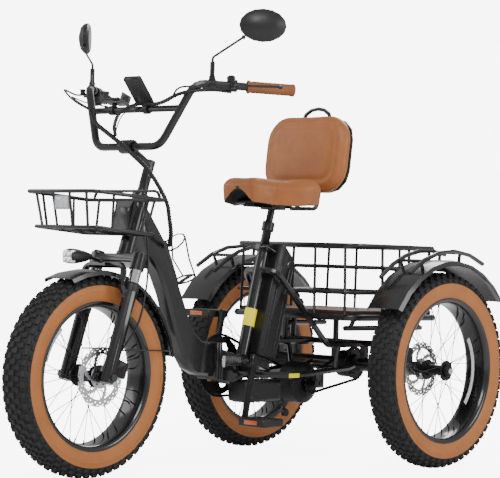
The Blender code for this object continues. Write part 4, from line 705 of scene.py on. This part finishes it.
def makeLamp(s):
    spots = [v.co for v in frame["nodes"]["headlight"].data.vertices]
    front = min(p.y for p in spots)
    rim = [p for p in spots if p.y < front + 0.001]
    centre = Vector((0, front, sum(p.z for p in rim) / len(rim)))
    half = max(abs(p.x) for p in rim) * s["share"]
    tall = max(abs(p.z - centre.z) for p in rim) * s["share"]
    bm = boxShape((-half, -s["depth"], -tall), (half, 0.004, tall), s["bevel"])
    for x, z in ((-1, 1), (1, 1), (-1, -1), (1, -1)):
        spot = (x * s["bowlX"] * half, -s["depth"], z * s["bowlZ"] * tall)
        place = Matrix.Translation(spot) @ Matrix.Scale(tall, 4)
        ring = [(0, 0.42), (-0.12, 0.40), (-0.16, 0.36), (-0.10, 0.32), (0, 0.32)]
        joinInto(bm, spinShape(ring, Vector(), Y, 24, closed=True), place)
        bulb = [(-0.04, 0.32), (-0.12, 0.22), (-0.15, 0.10), (-0.16, 0)]
        joinInto(bm, spinShape(bulb, Vector(), Y, 20), place, 1)
    bmesh.ops.translate(bm, vec=centre, verts=bm.verts)
    put("headlightReflector", bm, ["lampChrome", "lampGlow"], "headlight", "steel")
    wide, high = half * s["trim"], tall * s["trim"]
    trim = boxShape((-wide, 0.002, -high), (wide, s["trimDepth"], high), 0.002)
    bmesh.ops.translate(trim, vec=centre, verts=trim.verts)
    put("headlightTrim", trim, ["chrome"], "headlight", "steel")


makeLamp(lampSizes)

# cables
# a point given as three numbers is (x, back, up) on the steering
bundlePoints = [
    (-0.150, -0.126, 0.739), (-0.110, -0.140, 0.689), (-0.030, -0.138, 0.645),
    (0.036, -0.118, 0.607), (0.076, -0.062, 0.566), (0.090, 0.008, 0.512),
    Vector((0.084, -0.330, 0.704)), Vector((0.062, -0.299, 0.660)), Vector((0.034, -0.275, 0.630))]
caliperLow, caliperHigh = extent("front_caliper")
caliperTop = Vector(((caliperLow.x + caliperHigh.x) / 2, (caliperLow.y + caliperHigh.y) / 2, caliperHigh.z))
wrapRise = 0.0085
cableRuns = [
    dict(name="cableBundle", radius=0.0056, wrap=0.0012, points=bundlePoints, bends=("steering", "front_frame"),
         bendFrom=bundlePoints[3], bendTo=bundlePoints[8], replaced=["cable_bundle"], stiffness="medium"),
    dict(name="crossbarBundle", radius=0.0048, wrap=0.0010, stiffness="medium",
         points=[onBar(1, 0.100, -0.008, -0.014), onBar(1, 0.040, 0.010, -0.018), (0.180, -0.122, 0.770),
                 (0.100, -0.119, 0.744), (0.020, -0.120, 0.744), (-0.022, -0.134, 0.715),
                 (-0.024, -0.141, 0.675), (-0.014, -0.137, 0.645)]),
    dict(name="leftBrakeCable", radius=0.0028, stiffness="stiff",
         points=[onBar(1, 0.118, 0.018, -0.006), onBar(1, 0.070, 0.034, -0.020), (0.205, -0.150, 0.775),
                 (0.150, -0.130, 0.748), (0.090, -0.128, 0.737)]),
    dict(name="rightBrakeCable", radius=0.0028, stiffness="stiff",
         points=[onBar(-1, 0.118, 0.018, -0.006), onBar(-1, 0.060, 0.048, -0.022), (-0.222, -0.178, 0.770),
                 (-0.186, -0.164, 0.742), (-0.138, -0.140, 0.722)]),
    dict(name="throttleCable", radius=0.0020, stiffness="medium",
         points=[onBar(-1, 0.128, -0.006, -0.016), onBar(-1, 0.085, 0.016, -0.036), (-0.226, -0.142, 0.764),
                 (-0.184, -0.142, 0.744), (-0.136, -0.134, 0.724)]),
    dict(name="displayCable", radius=0.0019, stiffness="medium",
         points=[(0.040, -0.124, 0.742), (0.030, -0.146, 0.722), (0.006, -0.152, 0.694),
                 (-0.010, -0.143, 0.662), (-0.014, -0.138, 0.644)]),
    dict(name="frontBrakeHose", radius=0.0028, stiffness="medium", bends=("steering", "fork_lower"),
         bendFrom=(0.078, 0.010, 0.330), bendTo=(0.092, 0.004, 0.200),
         points=[(0.053, -0.042, 0.562), (0.060, -0.030, 0.480), (0.072, -0.008, 0.400),
                 (0.084, 0.010, 0.330), (0.101, 0.012, 0.250), (0.098, 0.016, 0.160),
                 caliperTop + Vector((0.004, 0.004, 0.020)), caliperTop + Vector((0, 0, -0.003))]),
]


def cablePoint(p):
    return p if isinstance(p, Vector) else steerPoint(*p)


def makeCable(c):
    path = smoothPath([cablePoint(p) for p in c["points"]], 8)
    pieces = [put(c["name"], tubeShape([path], c["radius"]), ["cableBlack"], "steering", "cable_rubber", 50,
                  c.get("replaced", ()))]
    if "wrap" in c:
        wrap = tubeShape([spiralAround(path, c["radius"] + c["wrap"] * 0.3, wrapRise)], c["wrap"], 1)
        pieces.append(put(c["name"] + "Wrap", wrap, ["mouldedBlack"], "steering", "cable_rubber", 50))
    if "bends" in c:
        for piece in pieces:
            place = piece.matrix_world.copy()
            piece.parent = None
            piece.matrix_world = place
            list(c["bends"])
            cablePoint(c["bendFrom"])
            cablePoint(c["bendTo"])
            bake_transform(piece)
    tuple(path[0])
    pathLength(path)


for run in cableRuns:
    makeCable(run)
print("cables made")

# chains
linkSizes = dict(pitch=0.0127, plateHalf=0.0005, plateLength=0.0094, plateTall=0.0034, innerX=0.0021,
                 outerX=0.0031, pinHalf=0.0036, pin=0.0032)
chainRuns = [dict(name="primaryChain", node="primary_chain", x=-0.0535, near="crank_spin", nearTeeth=44,
                  far="motor_spin", farTeeth=18),
             dict(name="driveChain", node="drive_chain", x=0.0570, near="motor_spin", nearTeeth=14,
                  far="differential_spin", farTeeth=24)]


def makeChain(c, s):
    near, far = pivot(c["near"]), pivot(c["far"])
    nearRadius, farRadius = [c[teeth] * s["pitch"] / (2 * math.pi) for teeth in ("nearTeeth", "farTeeth")]
    gap = far - near
    heading = math.atan2(gap.z, gap.y)
    spread = math.acos((nearRadius - farRadius) / math.hypot(gap.y, gap.z))
    path = []
    for centre, radius, first, last in ((near, nearRadius, heading + spread, heading + 2 * math.pi - spread),
                                        (far, farRadius, heading - spread, heading + spread)):
        middle = Vector((c["x"], centre.y, centre.z))
        path += [around(middle, first + (last - first) * k / 40, radius) for k in range(41)]
    path.append(path[0])
    total = pathLength(path)
    count = 2 * round(total / s["pitch"] / 2)
    pins = [spot for spot, along in walk(path, [total * k / count for k in range(count)])]
    bm = bmesh.new()
    for k, pin in enumerate(pins):
        other = pins[(k + 1) % count]
        along = (other - pin).normalized()
        place = Matrix((X, along, X.cross(along))).transposed().to_4x4()
        place.translation = (pin + other) / 2
        for side in (1, -1):
            x = side * (s["outerX"] if k % 2 else s["innerX"])
            plate = boxShape((x - s["plateHalf"], -s["plateLength"], -s["plateTall"]),
                             (x + s["plateHalf"], s["plateLength"], s["plateTall"]))
            joinInto(bm, plate, place, 0)
        joinInto(bm, rodShape(pin - X * s["pinHalf"], pin + X * s["pinHalf"], s["pin"], 8), index=1)
    put(c["name"], bm, ["blackSteel", "darkSteel"], bodyOf[c["node"]], slotOf[c["node"]], 40, [c["node"]])


for run in chainRuns:
    makeChain(run, linkSizes)
print("chains made")

# small fittings
def addBox(name, low, high, material, body, slotName="black_plastic", bevel=0.001):
    put(name, boxShape(low, high, bevel), [material], body, slotName)


tapeSizes = dict(low=0.104, high=0.156, inner=0.0176, outer=0.0181)
t = tapeSizes
tape = [(t["low"], t["inner"]), (t["low"], t["outer"]), (t["high"], t["outer"]), (t["high"], t["inner"])]
# the yellow tape and label carry the painted glow of their material
put("seatTubeTape", spinShape(tape, seatFoot, seatUp, 32, closed=True), ["safetyYellowPaintedGlow"], "rear_frame",
    "black_paint")
addBox("stayLabel", (0.0945, 0.180, 0.2565), (0.0956, 0.226, 0.2690), "safetyYellowPaintedGlow", "rear_frame", "black_paint",
       0.0002)

batterySizes = dict(half=0.042, ridges=(0.034, 0.046, 0.084, 0.097), low=0.045, high=0.300, ridge=0.0016,
                    lockBack=0.081, lockUp=0.312)


def makeBatteryTrim(b):
    ridges = bmesh.new()
    for side in (1, -1):
        for back in b["ridges"]:
            low, high = [seatPoint(side * b["half"], back, up) for up in (b["low"], b["high"])]
            joinInto(ridges, rodShape(low, high, b["ridge"], 8, 0.0006))
    put("batteryRidges", ridges, ["fenderBlack"], "battery", "black_plastic")
    ring = spinShape([(0, 0.0060), (0, 0.0105), (0.0022, 0.0100), (0.0026, 0.0080), (0.0012, 0.0060)],
                     seatPoint(b["half"], b["lockBack"], b["lockUp"]), X, 28, closed=True)
    put("batteryLockRing", ring, ["chrome"], "battery", "steel")


makeBatteryTrim(batterySizes)

screwSizes = dict(foot=0.0430, head=0.0448, radius=0.0032, ys=(0.077, 0.195), zs=(0.198, 0.234))
screws = bmesh.new()
for y in screwSizes["ys"]:
    for z in screwSizes["zs"]:
        foot, head = Vector((screwSizes["foot"], y, z)), Vector((screwSizes["head"], y, z))
        joinInto(screws, rodShape(foot, head, screwSizes["radius"], 14, 0.0005))
put("controllerScrews", screws, ["darkSteel"], "rear_frame", "steel")

basketFront = extent("front_basket")[0].y
addBox("basketReflector", (-0.027, basketFront + 0.006, 0.716), (0.027, basketFront + 0.015, 0.753), "paleGrey",
       bodyOf["front_basket"], bevel=0.003)
addBox("basketReflectorLens", (-0.023, basketFront + 0.0045, 0.720), (0.023, basketFront + 0.008, 0.749),
       "clearReflector", bodyOf["front_basket"], bevel=0.002)

pedalSizes = dict(half=0.024, tall=0.006, proud=0.002, sunk=0.0005, stud=0.0022, studRise=0.0012, studs=4,
                  studFirst=0.16, studStep=0.23, studShare=0.378)


def makePedalTrim(word, p):
    low, high = extent("pedal_" + word)
    centre, span = (low + high) / 2, high - low
    reflectors = bmesh.new()
    for near, far in ((low.y - p["proud"], low.y + p["sunk"]), (high.y - p["sunk"], high.y + p["proud"])):
        joinInto(reflectors, boxShape((centre.x - p["half"], near, centre.z - p["tall"]),
                                      (centre.x + p["half"], far, centre.z + p["tall"]), 0.0006))
    put("pedalReflectors" + word.title(), reflectors, ["amberReflector"], "pedal_" + word, "black_plastic")
    studs = bmesh.new()
    for k in range(p["studs"]):
        for row in (-1, 1):
            x = low.x + span.x * (p["studFirst"] + p["studStep"] * k)
            y = centre.y + row * span.y * p["studShare"]
            joinInto(studs, rodShape(Vector((x, y, low.z - p["studRise"])), Vector((x, y, high.z + p["studRise"])),
                                     p["stud"], 10, 0.0006))
    put("pedalStuds" + word.title(), studs, ["darkSteel"], "pedal_" + word, "steel")


for word in ("left", "right"):
    makePedalTrim(word, pedalSizes)
print("fittings made")

# saddle and backrest
cushions = {
    "saddle": dict(bottom=0.766, height=0.074, voxel=0.0045, pressure=4.0, cap=0.0025,
                   outline=[(0.040, 0.026), (0.066, 0.034), (0.078, 0.062), (0.090, 0.100), (0.118, 0.140),
                            (0.142, 0.180), (0.149, 0.222), (0.138, 0.260), (0.105, 0.280), (0.050, 0.284)]),
    "backrest": dict(centre=(0, 0.337, 0.920), lean=-7, halfWidth=0.158, halfHeight=0.119, corner=0.074,
                     thickness=0.046, voxel=0.0050, pressure=4.0, cap=0.0025),
}


def flatPad(outline, low, high):
    bm = bmesh.new()
    ring = [bm.verts.new((x, y, low)) for x, y in outline]
    base = bm.faces.new(ring)
    grown = bmesh.ops.extrude_face_region(bm, geom=[base])
    lifted = [g for g in grown["geom"] if isinstance(g, bmesh.types.BMVert)]
    bmesh.ops.translate(bm, vec=(0, 0, high - low), verts=lifted)
    bmesh.ops.recalc_face_normals(bm, faces=bm.faces)
    return bm


def closedCurve(points, steps):
    points = [Vector((*p, 0)) for p in points]
    count = len(points)
    ring = []
    for i in range(count):
        a, b, c, d = (points[(i + k - 1) % count] for k in range(4))
        for k in range(steps):
            t = k / steps
            ring.append(0.5 * (2 * b + (c - a) * t + (2 * a - 5 * b + 4 * c - d) * t * t
                               + (3 * b - a - 3 * c + d) * t ** 3))
    return [(p.x, p.y) for p in ring]


def edgeDistance(x, y, outline):
    best = 1.0
    for (ax, ay), (bx, by) in zip(outline, outline[1:] + outline[:1]):
        dx, dy = bx - ax, by - ay
        t = max(0.0, min(1.0, ((x - ax) * dx + (y - ay) * dy) / (dx * dx + dy * dy + 1e-12)))
        best = min(best, math.hypot(x - ax - dx * t, y - ay - dy * t))
    return best


def remeshed(name, bm, voxel):
    mesh = bpy.data.meshes.new(name)
    bm.to_mesh(mesh)
    bm.free()
    piece = bpy.data.objects.new(name, mesh)
    scene.collection.objects.link(piece)
    remesh = piece.modifiers.new("Remesh", "REMESH")
    remesh.mode = "VOXEL"
    remesh.voxel_size = voxel
    bpy.context.view_layer.update()
    final = bpy.data.meshes.new_from_object(piece.evaluated_get(bpy.context.evaluated_depsgraph_get()))
    piece.modifiers.clear()
    piece.data = final
    return piece


def relax(mesh, rounds):
    bm = bmesh.new()
    bm.from_mesh(mesh)
    for _ in range(rounds):
        bmesh.ops.smooth_vert(bm, verts=bm.verts, factor=0.5, use_axis_x=True, use_axis_y=True, use_axis_z=True)
    bm.to_mesh(mesh)
    bm.free()


def inflate(piece, pressure, cap):
    rest = [v.co.copy() for v in piece.data.vertices]
    cloth = piece.modifiers.new("Cloth", "CLOTH")
    cloth.settings.use_pressure = True
    cloth.settings.uniform_pressure_force = pressure
    cloth.settings.effector_weights.gravity = 0
    cloth.settings.tension_stiffness = 40
    cloth.settings.compression_stiffness = 40
    cloth.settings.bending_stiffness = 4
    for moment in range(1, 21):
        scene.frame_set(moment)
    swollen = piece.evaluated_get(bpy.context.evaluated_depsgraph_get()).to_mesh()
    moved = [v.co.copy() for v in swollen.vertices]
    piece.modifiers.clear()
    for vertex, old, new in zip(piece.data.vertices, rest, moved):
        step = new - old
        vertex.co = old + (step if step.length < cap else step.normalized() * cap)
    scene.frame_set(1)


def finishPad(piece, node):
    piece.data.materials.clear()
    piece.data.materials.append(paint["leatherTan"])
    piece.data.shade_smooth()
    smoothing = piece.modifiers.new("Subdivision", "SUBSURF")
    smoothing.levels = smoothing.render_levels = 1
    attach(piece, "seat_head")
    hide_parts(node)


def makeSaddle(s):
    half = s["outline"]
    ring = closedCurve(half + [(-x, y) for x, y in reversed(half)], 4)
    inner = [(x * 0.972, 0.16 + (y - 0.16) * 0.965) for x, y in ring]
    bottom, top = s["bottom"] + 0.001, s["bottom"] + s["height"] - 0.0035
    piece = remeshed("saddlePad", flatPad(inner, bottom, top), s["voxel"])
    for vertex in piece.data.vertices:
        x, y, z = vertex.co
        rise = (z - bottom) / (top - bottom)
        rim = edgeDistance(x, y, inner)
        # the top dips behind the nose and rolls over at the edge
        dip = 0.007 * math.exp(-((y - 0.150) / 0.050) ** 2) + 0.003 * math.exp(-(x / 0.05) ** 2)
        roll = 0.020 * max(0.0, 1 - rim / 0.034) ** 2
        lobe = max(0.0, 1 - (x / 0.062) ** 2) ** 1.5 * max(0.0, min(1.0, (0.160 - y) / 0.100))
        skirt = (0.009 + 0.008 * math.exp(-((y - 0.150) / 0.070) ** 2)) * max(0.0, 1 - rim / 0.016) * (1 - lobe)
        vertex.co.z = z - rise * (dip + roll) + (1 - rise) * (0.034 * lobe - skirt)
        pull = 0.006 * (1 - rise) * max(0.0, 1 - rim / 0.03)
        vertex.co.x -= pull * x / 0.15
        vertex.co.y -= pull * (y - 0.16) / 0.15
    relax(piece.data, 5)
    inflate(piece, s["pressure"], s["cap"])
    relax(piece.data, 2)
    for vertex in piece.data.vertices:
        x, y, z = vertex.co
        rise = max(0.0, min(1.0, (z - s["bottom"]) / s["height"]))
        seam = abs(y - (0.268 - 0.70 * (s["bottom"] + s["height"] - z))) / 0.0032
        noseSeam = abs(y - 0.098 - 0.25 * (z - s["bottom"])) / 0.0032
        if abs(x) > 0.060 and rise < 0.86:
            vertex.co.x -= math.copysign(0.0018 * (math.exp(-seam * seam) + math.exp(-noseSeam * noseSeam)), x)
    finishPad(piece, "saddle")
    piece.data.materials.append(paint["mouldedBlack"])
    for face in piece.data.polygons:
        if face.normal.z < -0.35:
            face.material_index = 1


def makeBackrest(s):
    corner, wide, tall = s["corner"], s["halfWidth"], s["halfHeight"]
    outline = []
    for sideX, sideY, first in ((1, 1, 0), (-1, 1, 90), (-1, -1, 180), (1, -1, 270)):
        for k in range(9):
            angle = math.radians(first + k * 11.25)
            outline.append((sideX * (wide - corner) + corner * math.cos(angle),
                            sideY * (tall - corner) + corner * math.sin(angle)))
    bulge = [(x * (0.990 - 0.022 * (y / tall) ** 2), y * (0.990 - 0.014 * (x / wide) ** 2)) for x, y in outline]
    half = s["thickness"] / 2
    piece = remeshed("backrestPad", flatPad(bulge, -half + 0.001, half - 0.006), s["voxel"])
    for vertex in piece.data.vertices:
        x, y, z = vertex.co
        rise = (z + half) / s["thickness"]
        rim = edgeDistance(x, y, bulge)
        crown = 0.006 * (1 - (x / wide) ** 2) * (1 - (y / tall) ** 2)
        roll = 0.017 * max(0.0, 1 - rim / 0.030) ** 2
        vertex.co.z = z + rise * (crown - roll)
    relax(piece.data, 5)
    inflate(piece, s["pressure"], s["cap"])
    relax(piece.data, 2)
    for vertex in piece.data.vertices:
        x, y, z = vertex.co
        if z > 0.004:
            # the stitched line inside the edge
            seam = (edgeDistance(x, y, bulge) - 0.036) / 0.0085
            vertex.co.z -= 0.0030 * math.exp(-seam * seam)
        vertex.co.z = max(-half + 0.0003, min(half + 0.004, vertex.co.z))
    upright = (Matrix.Translation(s["centre"]) @ Matrix.Rotation(math.radians(s["lean"]), 4, "X")
               @ Matrix((X, Z, -Y)).transposed().to_4x4())
    piece.data.transform(upright)
    finishPad(piece, "backrest")


makeSaddle(cushions["saddle"])
makeBackrest(cushions["backrest"])
print("seat made")

# stage
stageSizes = dict(floor=40.0, glow=7.0, surround=0.55)


def addGlow(tree, strength, plain):
    seen = tree.nodes.new("ShaderNodeLightPath")
    return rangeNode(tree, seen.outputs["Is Camera Ray"], plain, strength, 0.0, 1.0)


def makeStage(s):
    bm = bmesh.new()
    bmesh.ops.create_circle(bm, cap_ends=True, segments=64, radius=s["floor"])
    mesh = bpy.data.meshes.new("backdrop")
    bm.to_mesh(mesh)
    bm.free()
    ground = bpy.data.materials.new("backdropWhite")
    ground.use_nodes = True
    shader = ground.node_tree.nodes["Principled BSDF"]
    ground.node_tree.links.new(addGlow(ground.node_tree, s["glow"], 0.0), shader.inputs["Emission Strength"])
    shader.inputs["Emission Color"].default_value = (1, 1, 1, 1)
    shader.inputs["Base Color"].default_value = (0.93, 0.93, 0.93, 1)
    shader.inputs["Roughness"].default_value = 0.9
    shader.inputs["Specular IOR Level"].default_value = 0.1
    mesh.materials.append(ground)
    backdrop = bpy.data.objects.new("backdrop", mesh)
    scene.collection.objects.link(backdrop)
    world = bpy.data.worlds.new("studio")
    scene.world = world
    world.use_nodes = True
    sky = world.node_tree.nodes["Background"]
    sky.inputs["Color"].default_value = (1, 1, 1, 1)
    glow = addGlow(world.node_tree, s["glow"] + s["surround"], s["surround"])
    world.node_tree.links.new(glow, sky.inputs["Strength"])


makeStage(stageSizes)

lamps = [
    dict(name="key", place=(2.6, -3.4, 4.2), size=2.2, power=150),
    dict(name="fill", place=(-4.2, -2.6, 2.6), size=2.6, power=60),
    dict(name="side", place=(4.4, 1.6, 2.2), size=2.0, power=80),
    dict(name="rim", place=(-1.5, 4.0, 3.6), size=2.4, power=110),
]
for lamp in lamps:
    light = bpy.data.lights.new(lamp["name"], "AREA")
    light.energy = lamp["power"]
    light.size = lamp["size"]
    holder = bpy.data.objects.new(lamp["name"], light)
    aim = (Vector((0, 0, 0.6)) - Vector(lamp["place"])).to_track_quat("-Z", "Y").to_matrix().to_4x4()
    holder.matrix_world = Matrix.Translation(lamp["place"]) @ aim
    scene.collection.objects.link(holder)
print("stage set")
